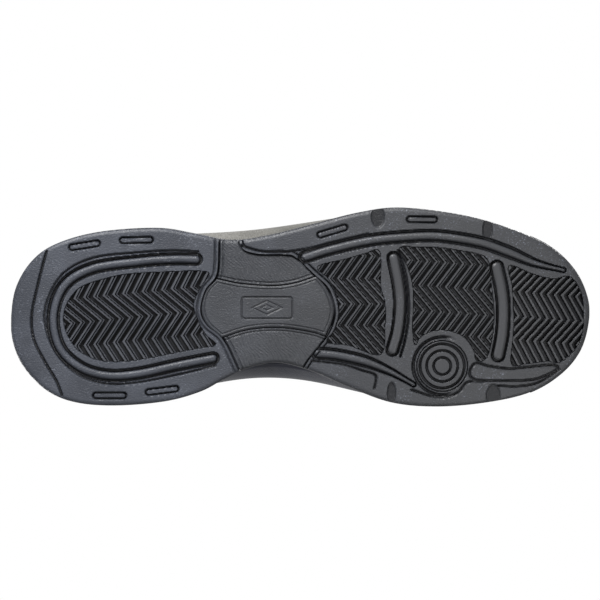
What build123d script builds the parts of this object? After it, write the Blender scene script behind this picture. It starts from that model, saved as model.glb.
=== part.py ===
"""Right court shoe for racket sports, as an assembly of its bench-level pieces.

Millimetres. +X runs from heel to toe, +Y to the medial side, +Z up. The origin lies on the ground
under the middle of the shoe. The tread, midsole, lasting board, insole, lining, vamp, quarters,
overlays, tongue, eyelets and lace are separate solids. The forefoot turns about a line across the
ball of the foot, so what crosses that line is split there, with a wedge that bends in between.
"""

from build123d import *
import math
import os

# ---------------------------------------------------------------- driving dimensions
SOLE_LENGTH = 300.0
HALF_LENGTH = SOLE_LENGTH / 2
TOE_SPRING_START = 84.0     # the ground line leaves the floor here
TOE_SPRING_RISE = 14.0
HEEL_BEVEL_START = -125.0
HEEL_BEVEL_RISE = 4.0
OUTSOLE_THICKNESS = 4.5
TREAD_DEPTH = 3.0
TREAD_WEB = 0.6             # rubber web that joins a panel's ribs
GROUND_INSET = 3.0          # the outsole's edge lies this far inside the widest sidewall line
BOARD_THICKNESS = 1.8
INSOLE_THICKNESS = 4.5
OVERLAY = (0.0, 1.2)        # depths below the outermost surface of the upper
SHELL = (1.2, 2.6)
STIFFENER = (2.6, 4.0)
LINING = (4.0, 5.0)
TONGUE = (10.0, 15.5)
UPPER_LENGTH = 292.0
FLEX_X = 57.0               # the toe flex axis, on the ground line
FLEX_ANGLE = 25.0
FLEX_SLOT = 0.4
EYELET_ROWS = 6
EYELET_HOLE_RADIUS = 2.1
EYELET_RING_RADIUS = 3.6
LACE_RADIUS = 1.1
WIDE = 70.0                 # half the width of a cutter that spans the shoe
HIGH = 200.0                # above everything
FAR = 170.0                 # beyond either end of the shoe
DEEP = -20.0                # below the ground

# Widest line of the sole, heel back first, then the lateral side, the toe and the medial side.
SOLE_LINE = [
    (-150, 6), (-147.5, -10), (-139, -24), (-126, -33), (-104, -39), (-74, -41), (-54, -38),
    (-36, -34.8), (-18, -37), (4, -42.4), (30, -49), (52, -51.5), (84, -47.6), (109, -40.5),
    (129, -31.5), (142.5, -19), (149.4, -4), (149.4, 10), (144.5, 24), (134, 35.5), (118, 44.5),
    (96, 49.4), (70, 51.5), (46, 49.2), (22, 40.3), (4.5, 32.9), (-13, 28.8), (-28, 32),
    (-40, 37.5), (-52, 43.8), (-70, 48.8), (-95, 51), (-116, 49.5), (-131, 43.4), (-143, 31.5),
    (-148.8, 19),
]
HEEL_POD_FRONT = [(-40, -40), (-42.2, -34), (-45.3, -16.5), (-50.4, -8.7), (-52.5, 1.5),
                  (-49.7, 10.3), (-41.2, 16.5), (-32.4, 31), (-28, 40)]
PLATE_TOP = [(-44, -15.2), (-29, -12.2), (-15, -11.1), (-2.4, -12.9), (8.7, -16)]
PLATE_FRONT = [(8.7, -16), (16.6, -5.5), (18.5, 2), (16.6, 10.3), (12.5, 15)]
PLATE_BOTTOM = [(12.5, 15), (7.1, 12.3), (-7.1, 10.1), (-18, 10.3), (-30.7, 12.7), (-40, 15.6)]
PLATE_BACK = [(-40, 15.6), (-48.4, 9.5), (-51, 1.5), (-49, -8), (-44, -15.2)]
BALL_POD_BACK = [(-32, -42), (-30, -31.5), (-16, -27.8), (0, -28.5), (8.5, -17), (17, -5.5),
                 (19.5, 2), (17, 11), (13.2, 17), (6, 28.5), (2, 40)]
HEEL_PANEL = [(-123, 8), (-117, -6.5), (-110, -12), (-99, -15.5), (-84, -17.3), (-68, -18),
              (-50, -17.7), (-48.5, -15), (-54.4, -3), (-55.6, 4), (-52, 10.3), (-43.8, 18.8),
              (-46, 21.5), (-57, 22.6), (-76, 26.4), (-92, 28), (-106, 26.4), (-115.5, 21.4),
              (-121, 15)]
BALL_PANEL = [(8.5, -21.5), (22, -26.5), (38, -31.5), (40, -29), (41.5, -8), (42, 12), (40, 25),
              (36, 30.5), (24, 26.5), (13.2, 22.6), (14.5, 18.5), (20.2, 11), (22, 3), (20, -6.5),
              (11.5, -18)]
FOREFOOT_PANEL = [(56, -30.5), (68, -31), (82, -29.5), (91, -27.5), (97, -24), (98.5, -10),
                  (99.5, 8), (98.5, 18), (94, 22), (87, 20), (80, 15.5), (72, 13.5), (64, 15),
                  (59.5, 18), (58.5, 8), (58.5, -8), (57, -22)]
TOE_PANEL = [(107.5, -26), (120, -22), (134, -15.5), (141, -9), (144.5, 2), (143, 13), (137, 22),
             (128, 27.5), (118, 30.3), (107, 31), (108.6, 14), (108.4, -4), (106.5, -18)]
PIVOT_CENTRE = (72.0, 30.4)
PIVOT_RADIUS = 13.0
PIVOT_GROOVES = ((12.6, 11.4), (9.0, 7.8), (5.6, 4.4))
REAR_BAR = [(45.5, -25), (49.4, -8), (50.2, 4), (48.6, 15), (46.5, 22.5)]
FRONT_BAR = [(100.8, -20), (103.4, -9), (104.7, 2.6), (104, 14.4), (102.4, 24)]
REAR_BAR_WIDTH = 3.6
FRONT_BAR_WIDTH = 4.8
HORSESHOE = [(-52, -25), (-70, -26), (-92, -25), (-108, -20.5), (-120, -11), (-126, 4),
             (-124.5, 18), (-117, 28.5), (-104, 34), (-88, 35.6), (-68, 32.5), (-48, 28.3)]
LATERAL_BEAD = [(3, -25), (18, -31.5), (38, -36.5), (60, -38.2), (84, -35), (104, -28.2),
                (122, -21.5), (133, -19)]
MEDIAL_BEAD = [(10, 22.5), (26, 25.5), (42, 31), (55, 38.5)]
BEAD_WIDTH = 4.2
GROOVE_DEPTH = 1.8
SLOT_SIZE = (16.5, 3.2)
SLOT_DEPTH = 1.2
HEEL_SLOTS = [(-111.4, -31.7, -8), (-84.7, -34.4, -1), (-98.5, 45.5, -1), (-71.5, 43, -6)]
BALL_SLOTS = [(16, -39, -16)]
TOE_SLOTS = [(62, -44.5, 1)]
# Herringbone: the rib's centre line over one half width of the shoe, as (x, y) steps.
RIB_ZIGZAG = [(14, -50), (0, -34), (14, -18), (1, -7), (14, 5), (2, 18), (14, 30), (0, 46)]
RIB_WIDTH = 1.5
HEEL_RIB_PITCH = 5.0
FOREFOOT_RIB_PITCH = 4.5
TOE_RIB_PITCH = 3.9

THROAT_LEVEL = 50.0         # the throat is open from here up
FOOTBED = [(-153, 25.5), (-120, 24.5), (-80, 23.5), (-40, 21), (0, 18), (40, 16.2), (75, 16),
           (105, 18), (130, 23), (153, 32)]
FEATHER = [(-153, 33), (-120, 31), (-80, 30.5), (-40, 29), (0, 26), (40, 24), (75, 24),
           (105, 27), (130, 33.5), (153, 41)]
TOPLINE = [(-160, 99), (-142, 98.5), (-131, 93), (-115, 82), (-96, 76), (-78, 77), (-61, 85),
           (-48, 97), (-38.5, 108)]
THROAT = [(-75, -19), (-38, -18), (0, -14), (24, -11.5), (34, -6), (37, 0.5), (34, 7), (24, 12),
          (0, 14), (-38, 17.5), (-75, 19)]

# One row for each section of the upper: x, lateral and medial y at the sole, lateral and medial y
# where it is widest, top, and how full it is at 55 and 85 per cent of its height.
SECTIONS = [
    (-146.0, -5, 15, -5, 15, 34, 74, 0.80, 0.50),
    (-143.8, -13, 23, -13.5, 23.5, 18, 104, 0.88, 0.58),
    (-138.0, -21, 33, -22, 34, 14, 126, 0.88, 0.62),
    (-128.0, -28.5, 40, -29.5, 41.5, 14, 138, 0.85, 0.62),
    (-110.0, -34, 45.5, -35.5, 46, 14, 143, 0.81, 0.60),
    (-85.0, -36, 45.5, -37, 46, 14, 138, 0.81, 0.57),
    (-55.0, -34, 40, -38.5, 42, 13, 123, 0.82, 0.56),
    (-25.0, -32, 28, -40.5, 37.5, 12, 103, 0.83, 0.56),
    (5.0, -38.5, 30, -44.5, 39, 11, 87, 0.84, 0.56),
    (35.0, -45.5, 41, -48.5, 45.5, 10, 73.5, 0.86, 0.57),
    (62.0, -46.5, 47, -49, 49, 10, 64.5, 0.88, 0.59),
    (90.0, -41.5, 45.5, -43, 47, 11, 58, 0.89, 0.60),
    (112.0, -34.5, 41, -35.5, 42, 13, 54.5, 0.90, 0.61),
    (130.0, -25, 32, -25.5, 32.5, 16, 52, 0.90, 0.62),
    (141.0, -14, 21, -14.5, 21.5, 22, 48.5, 0.88, 0.60),
    (146.0, -4, 11, -4, 11, 31, 43, 0.80, 0.50),
]

WAIST_LIFT = 1.2            # the waist stands this far clear of the ground
PLATE_LIFT = 0.8
WAIST_SPLIT = 9.0           # each waist panel starts this far from the shank plate's middle
GROOVE_WIDTH = 1.0
RIB_REACH = 20.0            # a rib's zigzag runs this far forward of its start
FIT_GAP = 0.3
BUMPER_THICKNESS = 2.5
BUMPER_BACK = 118.0         # the toe bumper's back edge at the bottom
BUMPER_RAKE = 14.0          # how far forward that edge is at the top
BUMPER_TOP = 60.0
CUSHION_CENTRE = (-103, 6)
CUSHION_RADII = (26, 20)
CUSHION_LEVELS = (11, 18)
BASE = (Align.CENTER, Align.CENTER, Align.MIN)

# Eyelets in six rows, the first by the toe, a little further apart at each step to the ankle.
EYELET_FRONT = 26.0
EYELET_STEP = 12.0
EYELET_SPREAD = 18.5
EYELET_WIDENING = 1.0
EYELET_MEDIAL_EXTRA = 1.0
EYELET_SINK = -0.3
EYELET_HEIGHT = 1.1
EYELET_BARREL_RADIUS = 2.5
LACE_UNDER = 6.4            # the lace runs this far under the upper's surface between eyelets
LACE_OVER = 3.0             # and this far over it from eyelet to eyelet
LACE_EDGE_SHARE = 0.64      # it turns down to the tongue at this share of the eyelets' spread
LACE_TAIL = 6.0             # each end runs on this far inside the upper
LACE_BEND = 1.6
TONGUE_CROWN_Y = 1.0

# Where the upper's panels meet.
HEEL_SEAM_Y = 5.0
HEEL_OVERLAY_FRONT = -100.0
FACING_WIDTH = 13.0
FACING_SIDE = [(60, 0), (-52, 60), (-46, 200), (60, 200)]
PUFF_BACK = 108.0
PUFF_RAKE = 6.0
MUDGUARD = [(-170, -20), (-170, 86), (-128, 78), (-118, 62), (-100, 52), (-80, 60), (-50, 62),
            (-20, 52), (20, 46), (57, 44), (80, 44), (100, 52), (112, 80), (170, 80), (170, -20)]
QUARTER = [(-170, -20), (-12, -20), (-8, 15), (10, 45), (26, 70), (32, 200), (-170, 200)]
COUNTER = [(-170, -20), (-84, -20), (-88, 45), (-110, 64), (-126, 76), (-170, 82)]
TONGUE_PLAN = [(46, -16), (0, -21), (-40, -25), (-60, -23), (-68, -11), (-70, 1), (-68, 13),
               (-60, 25), (-40, 27), (0, 22), (46, 17), (49, 0)]
TONGUE_SIDE = [(60, 40), (-80, 84), (-80, 200), (60, 200)]
FOLD_X = -43.0              # the top of the tongue folds forward about this line
FOLD_Z = 108.0
FOLD_REACH = 60.0           # half the length of the cut that parts the top from the tongue
FOLD_SIN = 0.61             # slant of that cut, square to the tongue
FOLD_COS = 0.79
FOLD_SHIFT = 0.6            # the cut passes this far above the fold line
KEEPER_THICKNESS = 0.9
KEEPER_PLAN = [(-8, -10), (0, -10), (0, 11), (-8, 11)]


# ---------------------------------------------------------------- outlines and cutters
def inset(points, distance):
    """A closed outline moved inwards, point by point along the normals."""
    moved = []
    for i, (x, y) in enumerate(points):
        before, after = points[i - 1], points[(i + 1) % len(points)]
        tangent = Vector(after[0] - before[0], after[1] - before[1]).normalized()
        moved.append((x - tangent.Y * distance, y + tangent.X * distance))
    return moved


def outline_face(points):
    """A smooth closed outline as a face on the XY plane."""
    return make_face(Spline(*points, periodic=True))


def polygon(points):
    return make_face(Polyline(*points, close=True))


def region_face(line, corners):
    """The region between a smooth open line and a few straight corners."""
    return make_face([Spline(*line).edge(), *Polyline(line[-1], *corners, line[0]).edges()])


def tall(face):
    """A plan shape as a prism through the whole shoe."""
    prism = extrude(face, HIGH - DEEP, dir=(0, 0, 1))
    return Pos(0, 0, DEEP) * prism


def arc_radius(run, rise):
    return (run * run + rise * rise) / (2 * rise)


def ground_line(dz):
    """The ground line raised by dz: heel bevel, flat and toe spring, as three edges."""
    over = 4.0
    edges = []
    for start, end, rise in ((HEEL_BEVEL_START, -HALF_LENGTH, HEEL_BEVEL_RISE),
                             (TOE_SPRING_START, HALF_LENGTH, TOE_SPRING_RISE)):
        run = abs(end - start)
        radius = arc_radius(run, rise)
        side = math.copysign(1, end - start)

        def at(share):
            step = share * (run + over)
            return Vector(start + side * step, 0, dz + radius - math.sqrt(radius**2 - step**2))

        edges.append(Edge.make_three_point_arc(at(0), at(0.5), at(1)))
    flat = Edge.make_line((HEEL_BEVEL_START, 0, dz), (TOE_SPRING_START, 0, dz))
    return edges[0], flat, edges[1]


def slab(low, high):
    """The space between two copies of the ground line."""
    lower, upper = ground_line(low), ground_line(high)
    ends = [Edge.make_line(lower[i] @ 1, upper[i] @ 1) for i in (0, 2)]
    face = Face(Wire([*lower, *upper, *ends]))
    return Pos(0, -WIDE, 0) * extrude(face, 2 * WIDE, dir=(0, 1, 0))


def side_region(line, high=True, shift=0.0):
    """The space above or below a smooth line in the side view."""
    points = [Vector(x, 0, z + shift) for x, z in line]
    edge = Edge.make_spline(points)
    level = HIGH if high else DEEP
    corners = [points[-1], Vector(points[-1].X, 0, level), Vector(points[0].X, 0, level), points[0]]
    face = Face(Wire([edge, *Wire.make_polygon(corners, close=False).edges()]))
    return Pos(0, -WIDE, 0) * extrude(face, 2 * WIDE, dir=(0, 1, 0))


def side_polygon(points):
    """The space inside a polygon in the side view."""
    face = Face(Wire.make_polygon([Vector(x, 0, z) for x, z in points]))
    return Pos(0, -WIDE, 0) * extrude(face, 2 * WIDE, dir=(0, 1, 0))


SLANT = math.tan(math.radians(FLEX_ANGLE + 1))
BEHIND_FLEX = side_polygon([(-FAR, DEEP), (FLEX_X, DEEP), (FLEX_X, HIGH), (-FAR, HIGH)])
AHEAD_OF_FLEX = side_polygon([(FLEX_X + FLEX_SLOT, DEEP), (FLEX_X + FLEX_SLOT, 0),
                              (FLEX_X + FLEX_SLOT + HIGH * SLANT, HIGH), (FAR, HIGH), (FAR, DEEP)])
FLEX_WEDGE = side_polygon([(FLEX_X, 0), (FLEX_X + FLEX_SLOT, 0),
                           (FLEX_X + FLEX_SLOT + HIGH * SLANT, HIGH), (FLEX_X, HIGH)])
ABOVE_FOOTBED = side_region(FOOTBED)
BELOW_FEATHER = side_region(FEATHER, high=False)
ABOVE_TOPLINE = side_polygon([*TOPLINE, (-37, 150), (-37, HIGH), (-160, HIGH)])
THROAT_HOLE = Pos(0, 0, THROAT_LEVEL - DEEP) * tall(outline_face(THROAT))


# ---------------------------------------------------------------- the last
def section_wire(row, depth):
    """A closed section of the upper, depth below its outermost surface."""
    x, yl, ym, wl, wm, zb, zt, fuller, crown = row
    zt -= depth
    yl, wl = yl + depth, wl + depth
    ym, wm = ym - depth, wm - depth
    height = zt - zb
    middle = (wl + wm) / 2
    scale = (UPPER_LENGTH / 2 - depth) / (UPPER_LENGTH / 2)

    def at(y, share):
        return Vector(x * scale, y, zb + share * height)

    side = [at(yl, 0), at(wl, 0.25), at(middle + (wl - middle) * fuller, 0.55),
            at(middle + (wl - middle) * crown, 0.85)]
    other = [at(middle + (wm - middle) * crown, 0.85), at(middle + (wm - middle) * fuller, 0.55),
             at(wm, 0.25), at(ym, 0)]
    over = Edge.make_spline([*side, at(middle, 1), *other])
    return Wire([over, Edge.make_line(over @ 1, over @ 0)])


def last(depth):
    """The closed shape inside the upper, depth below its outermost surface."""
    rows = [r for r in SECTIONS if r[4] - r[3] > 2 * depth + 3]
    return Solid.make_loft([section_wire(r, depth) for r in rows])


LASTS = {}


def last_at(depth):
    if depth not in LASTS:
        LASTS[depth] = last(depth)
    return LASTS[depth]


def layer(depths):
    """One layer of the upper, open at the footbed, the collar and the throat."""
    shell = (last_at(depths[0]) & ABOVE_FOOTBED) - last_at(depths[1])
    return shell - ABOVE_TOPLINE - THROAT_HOLE


def surface_point(x, y, depth):
    """A point of the upper's top, and the outward normal there."""
    hits = last_at(depth).find_intersection_points(Axis((x, y, 0), (0, 0, 1)))
    point, normal = max(hits, key=lambda hit: hit[0].Z)
    return point, normal if normal.Z > 0 else -normal


# ---------------------------------------------------------------- the bottom unit
def end_corners(line, end):
    """The corners that close a line across the sole round one end of the shoe."""
    return [(line[-1][0], WIDE), (end, WIDE), (end, -WIDE), (line[0][0], -WIDE)]


def side_of(line, far_corners):
    return tall(region_face(line, far_corners))


def band(line, width):
    """A band of one width along a smooth line, with round ends."""
    path = Spline(*line)
    half = width / 2
    steps = 2 * len(line)

    def beside(share, offset):
        along = path % share
        return path @ share + Vector(-along.Y, along.X) * offset

    left = [beside(i / steps, half) for i in range(steps + 1)]
    right = [beside(1 - i / steps, -half) for i in range(steps + 1)]
    far_end = ThreePointArc(left[-1], path @ 1 + (path % 1) * half, right[0])
    near_end = ThreePointArc(right[-1], path @ 0 - (path % 0) * half, left[0])
    return make_face([Spline(*left).edge(), far_end.edge(), Spline(*right).edge(), near_end.edge()])


def groove(face, depth):
    """A cutter that sinks a plan shape into the ground side of the sole."""
    return tall(face) & slab(-1, depth)


def herringbone(panel, pitch):
    """A panel of zigzag ribs that stand down from a thin rubber web."""
    box = panel.bounding_box()
    ribs = []
    x = box.min.X - RIB_REACH
    while x < box.max.X:
        front = [(x + dx, y) for dx, y in RIB_ZIGZAG]
        back = [(px + RIB_WIDTH, py) for px, py in reversed(front)]
        ribs.append(polygon([*front, *back]))
        x += pitch
    shapes = Sketch() + [rib & panel for rib in ribs]
    teeth = tall(shapes) & slab(0, TREAD_DEPTH - TREAD_WEB)
    web = tall(panel) & slab(TREAD_DEPTH - TREAD_WEB, TREAD_DEPTH)
    return web + teeth


def edge_slot(x, y, turn):
    length, width = SLOT_SIZE
    return groove(Pos(x, y) * Rot(0, 0, turn) * SlotOverall(length, width), SLOT_DEPTH)


def bead_grooves(line):
    """The two grooves that leave a raised bead between them."""
    outer = band(line, BEAD_WIDTH + 2 * GROOVE_WIDTH)
    return groove(outer - band(line, BEAD_WIDTH), GROOVE_DEPTH)


def make_bottom(parts):
    ground = outline_face(inset(SOLE_LINE, GROUND_INSET))
    rubber = tall(ground) & slab(0, OUTSOLE_THICKNESS)
    raised = tall(ground) & slab(WAIST_LIFT, OUTSOLE_THICKNESS)
    heel_side = side_of(HEEL_POD_FRONT, end_corners(HEEL_POD_FRONT, -FAR))
    ball_side = side_of(BALL_POD_BACK, end_corners(BALL_POD_BACK, FAR))
    plate_sides = (PLATE_TOP, PLATE_FRONT, PLATE_BOTTOM, PLATE_BACK)
    plate = tall(make_face([Spline(*side).edge() for side in plate_sides]))
    waist = raised - heel_side - ball_side - plate
    shank = tall(ground) & plate & slab(PLATE_LIFT, OUTSOLE_THICKNESS)
    parts["shank_plate"] = shank - heel_side - ball_side
    parts["lateral_waist_panel"] = waist & half_plan(-1, -WAIST_SPLIT)
    parts["medial_waist_panel"] = waist & half_plan(1, WAIST_SPLIT)

    panels = {
        "heel_tread": (HEEL_PANEL, HEEL_RIB_PITCH),
        "ball_tread": (BALL_PANEL, FOREFOOT_RIB_PITCH),
        "forefoot_tread": (FOREFOOT_PANEL, FOREFOOT_RIB_PITCH),
        "toe_tread": (TOE_PANEL, TOE_RIB_PITCH),
    }
    panels = {name: (polygon(line), pitch) for name, (line, pitch) in panels.items()}
    for name, (panel, pitch) in panels.items():
        parts[name] = herringbone(panel, pitch)
    parts["forefoot_tread"] = parts["forefoot_tread"] & AHEAD_OF_FLEX
    treads = {name: groove(panel, TREAD_DEPTH) for name, (panel, _) in panels.items()}

    heel = (rubber & heel_side) - treads["heel_tread"] - bead_grooves(HORSESHOE)
    for slot in HEEL_SLOTS:
        heel -= edge_slot(*slot)
    parts["heel_outsole"] = heel

    pivot = Pos(*PIVOT_CENTRE) * Circle(PIVOT_RADIUS)
    rings = Sketch() + [Circle(outer) - Circle(inner) for outer, inner in PIVOT_GROOVES]
    disc = groove(pivot, TREAD_DEPTH) & slab(0, HIGH)
    parts["pivot_disc"] = disc - groove(Pos(*PIVOT_CENTRE) * rings, GROOVE_DEPTH)
    bars = {"rear_flex_bar": band(REAR_BAR, REAR_BAR_WIDTH),
            "front_flex_bar": band(FRONT_BAR, FRONT_BAR_WIDTH)}
    for name, face in bars.items():
        parts[name] = groove(face, TREAD_DEPTH) & slab(0, HIGH)

    cutters = [treads[name] for name in ("ball_tread", "forefoot_tread", "toe_tread")]
    cutters += [groove(face, TREAD_DEPTH) for face in (*bars.values(), pivot)]
    cutters += [bead_grooves(LATERAL_BEAD), bead_grooves(MEDIAL_BEAD)]
    cutters += [edge_slot(*slot) for slot in BALL_SLOTS + TOE_SLOTS]
    split_at_flex(parts, "forefoot_outsole", rubber & ball_side)
    for name in ("forefoot_outsole_rear", "forefoot_outsole_flex", "forefoot_outsole_front"):
        for cutter in cutters:
            parts[name] -= cutter


def plan_polygon(points):
    return tall(polygon(points))


def half_plan(side, y):
    """Everything on one side of a line along X: side is 1 for medial, -1 for lateral."""
    far = side * 2 * WIDE
    return plan_polygon([(-FAR, y), (FAR, y), (FAR, far), (-FAR, far)])


def make_midsole(parts):
    outline = outline_face(SOLE_LINE)
    cup = tall(outline) & slab(OUTSOLE_THICKNESS, HIGH) & BELOW_FEATHER
    cup -= last_at(0) & side_region(FOOTBED, shift=-BOARD_THICKNESS)
    rim = tall(outline - outline_face(inset(SOLE_LINE, BUMPER_THICKNESS)))
    toe_end = side_polygon([(BUMPER_BACK, DEEP), (BUMPER_BACK + BUMPER_RAKE, BUMPER_TOP),
                            (FAR, BUMPER_TOP), (FAR, DEEP)])
    bumper = cup & rim & toe_end
    cup -= bumper
    cushion = Pos(*CUSHION_CENTRE) * Ellipse(*CUSHION_RADII)
    pad = tall(cushion) & slab(*CUSHION_LEVELS)
    parts["heel_cushion"] = pad
    parts["toe_bumper"] = bumper
    parts["midsole_rear"] = (cup - pad) & BEHIND_FLEX
    parts["midsole_flex"] = cup & FLEX_WEDGE
    parts["midsole_front"] = cup & AHEAD_OF_FLEX


def make_footbed(parts):
    board = last_at(0) & side_region(FOOTBED, shift=-BOARD_THICKNESS)
    board &= side_region(FOOTBED, high=False)
    insole = last_at(LINING[1] + FIT_GAP) & ABOVE_FOOTBED
    insole &= side_region(FOOTBED, high=False, shift=INSOLE_THICKNESS)
    for name, shape in (("lasting_board", board), ("insole", insole)):
        split_at_flex(parts, name, shape)


def split_at_flex(parts, name, shape):
    """A piece that crosses the ball line, as its rear, its bending wedge and its front."""
    parts[name + "_rear"] = shape & BEHIND_FLEX
    parts[name + "_flex"] = shape & FLEX_WEDGE
    parts[name + "_front"] = shape & AHEAD_OF_FLEX


# ---------------------------------------------------------------- the upper
def eyelet_places():
    """Where each eyelet sits: lateral and medial points with their normals, toe end first."""
    rows = []
    for i in range(EYELET_ROWS):
        x = EYELET_FRONT - i * EYELET_STEP
        half = EYELET_SPREAD + i * EYELET_WIDENING
        rows.append([surface_point(x, -half, 0), surface_point(x, half + EYELET_MEDIAL_EXTRA, 0)])
    return rows


def eyelet(point, normal):
    """A rolled metal eyelet with its barrel down through the layers, and the bore it needs."""
    flange = Pos(0, 0, EYELET_SINK) * Cylinder(EYELET_RING_RADIUS, EYELET_HEIGHT, align=BASE)
    barrel = Pos(0, 0, -LINING[1]) * Cylinder(EYELET_BARREL_RADIUS, LINING[1], align=BASE)
    hole = Pos(0, 0, -LINING[1] - 1) * Cylinder(EYELET_HOLE_RADIUS, LINING[1] + 4, align=BASE)
    body = flange + barrel
    place = Plane(origin=point, z_dir=normal).location
    return place * (body - hole), place * (body + hole)


def lining_bore(point, normal):
    """The plain bore of an eyelet's barrel through the lining."""
    long_bore = Cylinder(EYELET_BARREL_RADIUS, 2 * LINING[1])
    return Plane(origin=point - normal * LINING[1], z_dir=normal).location * long_bore


def lace_route(rows):
    """A serpentine lace: over the throat, down an eyelet, on under the facing and up again."""
    points = []
    for i, row in enumerate(rows):
        sides = []
        for point, normal in row if i % 2 == 0 else row[::-1]:
            edge, edge_normal = surface_point(point.X, point.Y * LACE_EDGE_SHARE, 0)
            over_edge = edge + edge_normal * LACE_OVER
            sides.append([point - normal * LACE_UNDER, point + normal * LACE_OVER, over_edge])
        first, second = sides
        crown, up = surface_point(row[0][0].X, TONGUE_CROWN_Y, TONGUE[0])
        crown += up * LACE_OVER
        sagging = crown.Z > (first[2].Z + second[2].Z) / 2
        points += [*first, *([crown] if sagging else []), *second[::-1]]
    start, end = points[0], points[-1]
    first_tail = start + Vector(LACE_TAIL, 0, -LACE_TAIL / 2)
    last_tail = end + Vector(-LACE_TAIL, LACE_TAIL / 12, LACE_TAIL / 3)
    return [first_tail, *points, last_tail]


def make_upper(parts):
    overlay, shell, stiffener, lining = (layer(d) for d in (OVERLAY, SHELL, STIFFENER, LINING))
    rows = eyelet_places()
    bores = []
    for side, name in enumerate(("lateral_eyelets", "medial_eyelets")):
        rings = [eyelet(*row[side]) for row in rows]
        parts[name] = Compound([ring for ring, _ in rings])
        bores += [bore for _, bore in rings]
        lining -= [lining_bore(*row[side]) for row in rows]
    overlay, shell, stiffener = (shape - bores for shape in (overlay, shell, stiffener))

    low = side_polygon(MUDGUARD)
    quarter_side = side_polygon(QUARTER)
    lateral_half = half_plan(-1, HEEL_SEAM_Y)
    guard = overlay & low
    heel_zone = side_polygon([(-FAR, DEEP), (HEEL_OVERLAY_FRONT, DEEP),
                              (HEEL_OVERLAY_FRONT, HIGH), (-FAR, HIGH)])
    parts["heel_overlay"] = guard & heel_zone
    sides = (guard - heel_zone) & BEHIND_FLEX
    parts["lateral_side_overlay"] = sides & lateral_half
    parts["medial_side_overlay"] = sides - lateral_half
    parts["mudguard_flex"] = guard & FLEX_WEDGE
    parts["toe_cap"] = guard & AHEAD_OF_FLEX

    facing = (overlay - low) & tall(outline_face(inset(THROAT, -FACING_WIDTH)))
    facing &= side_polygon(FACING_SIDE)
    parts["lateral_eyestay"] = facing & lateral_half
    parts["medial_eyestay"] = facing - lateral_half

    quarters = shell & quarter_side
    parts["lateral_quarter"] = quarters & lateral_half
    parts["medial_quarter"] = quarters - lateral_half
    padding = stiffener & quarter_side
    counter_zone = side_polygon(COUNTER)
    parts["heel_counter"] = padding & counter_zone
    parts["collar_padding"] = padding - counter_zone

    vamp = (shell + stiffener) - quarter_side
    puff_zone = side_polygon([(PUFF_BACK, DEEP), (PUFF_BACK + PUFF_RAKE, HIGH), (FAR, HIGH),
                              (FAR, DEEP)])
    puff = stiffener & puff_zone
    parts["toe_puff"] = puff
    split_at_flex(parts, "vamp", vamp - puff)
    split_at_flex(parts, "lining", lining)

    lace = FilletPolyline(*lace_route(rows), radius=LACE_BEND)
    parts["lace"] = sweep(Plane(origin=lace @ 0, z_dir=lace % 0) * Circle(LACE_RADIUS), path=lace)


def make_tongue(parts):
    pad = last_at(TONGUE[0]) - last_at(TONGUE[1])
    pad &= tall(outline_face(TONGUE_PLAN)) & side_polygon(TONGUE_SIDE)
    run, rise = FOLD_REACH * FOLD_SIN, FOLD_REACH * FOLD_COS
    flap_side = side_polygon([(FOLD_X, FOLD_Z + FOLD_SHIFT), (FOLD_X - run, FOLD_Z - rise),
                              (-FAR, 0), (-FAR, HIGH), (FOLD_X + run, FOLD_Z + rise)])
    gap_side = Pos(FIT_GAP, 0, 0) * flap_side
    parts["tongue"] = pad - gap_side
    parts["tongue_top"] = pad & flap_side
    keeper = last_at(TONGUE[0] - KEEPER_THICKNESS) - last_at(TONGUE[0])
    keeper &= plan_polygon(KEEPER_PLAN) & side_polygon(TONGUE_SIDE)
    parts["lace_keeper"] = keeper


def main():
    os.makedirs("parts", exist_ok=True)
    parts = {}
    for build in (make_bottom, make_midsole, make_footbed, make_upper, make_tongue):
        build(parts)
    for name, shape in parts.items():
        export_step(shape, f"parts/{name}.step")


main()
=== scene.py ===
"""A right court shoe, seen from below: every piece of its sole and its upper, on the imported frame."""

import math

import bmesh
import bpy
import numpy as np
from mathutils import Matrix, Vector


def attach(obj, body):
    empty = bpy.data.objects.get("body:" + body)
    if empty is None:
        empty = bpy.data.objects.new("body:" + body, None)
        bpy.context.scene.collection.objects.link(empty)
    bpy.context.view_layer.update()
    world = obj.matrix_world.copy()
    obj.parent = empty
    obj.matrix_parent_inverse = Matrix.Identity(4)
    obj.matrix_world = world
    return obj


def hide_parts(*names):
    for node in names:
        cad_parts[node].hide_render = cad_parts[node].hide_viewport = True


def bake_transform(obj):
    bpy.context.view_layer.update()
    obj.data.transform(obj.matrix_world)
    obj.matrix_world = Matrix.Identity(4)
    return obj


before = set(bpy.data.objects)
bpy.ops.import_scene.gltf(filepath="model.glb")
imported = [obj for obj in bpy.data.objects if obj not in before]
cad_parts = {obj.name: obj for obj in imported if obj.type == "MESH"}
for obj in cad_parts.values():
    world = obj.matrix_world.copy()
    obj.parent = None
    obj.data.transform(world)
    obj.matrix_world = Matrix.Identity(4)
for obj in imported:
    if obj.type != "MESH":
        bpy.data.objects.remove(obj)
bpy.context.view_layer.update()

# ------------------------------------------------------------------ camera
# The camera looks straight up at the sole from under the floor, with the toe to the right and
# the medial side below.
FRAME_WIDTH = 0.3087        # metres across the view at the ground face
CAMERA_DISTANCE = 1.6
camera_data = bpy.data.cameras.new("camera")
camera = bpy.data.objects.new("camera", camera_data)
bpy.context.scene.collection.objects.link(camera)
camera_data.sensor_width = 36.0
camera_data.lens = camera_data.sensor_width * CAMERA_DISTANCE / FRAME_WIDTH
camera.location = (-0.0005, -0.0036, -CAMERA_DISTANCE)
camera.rotation_euler = (math.pi, 0, 0)
bpy.context.scene.camera = camera
bpy.context.scene.view_settings.view_transform = "Standard"


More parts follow.
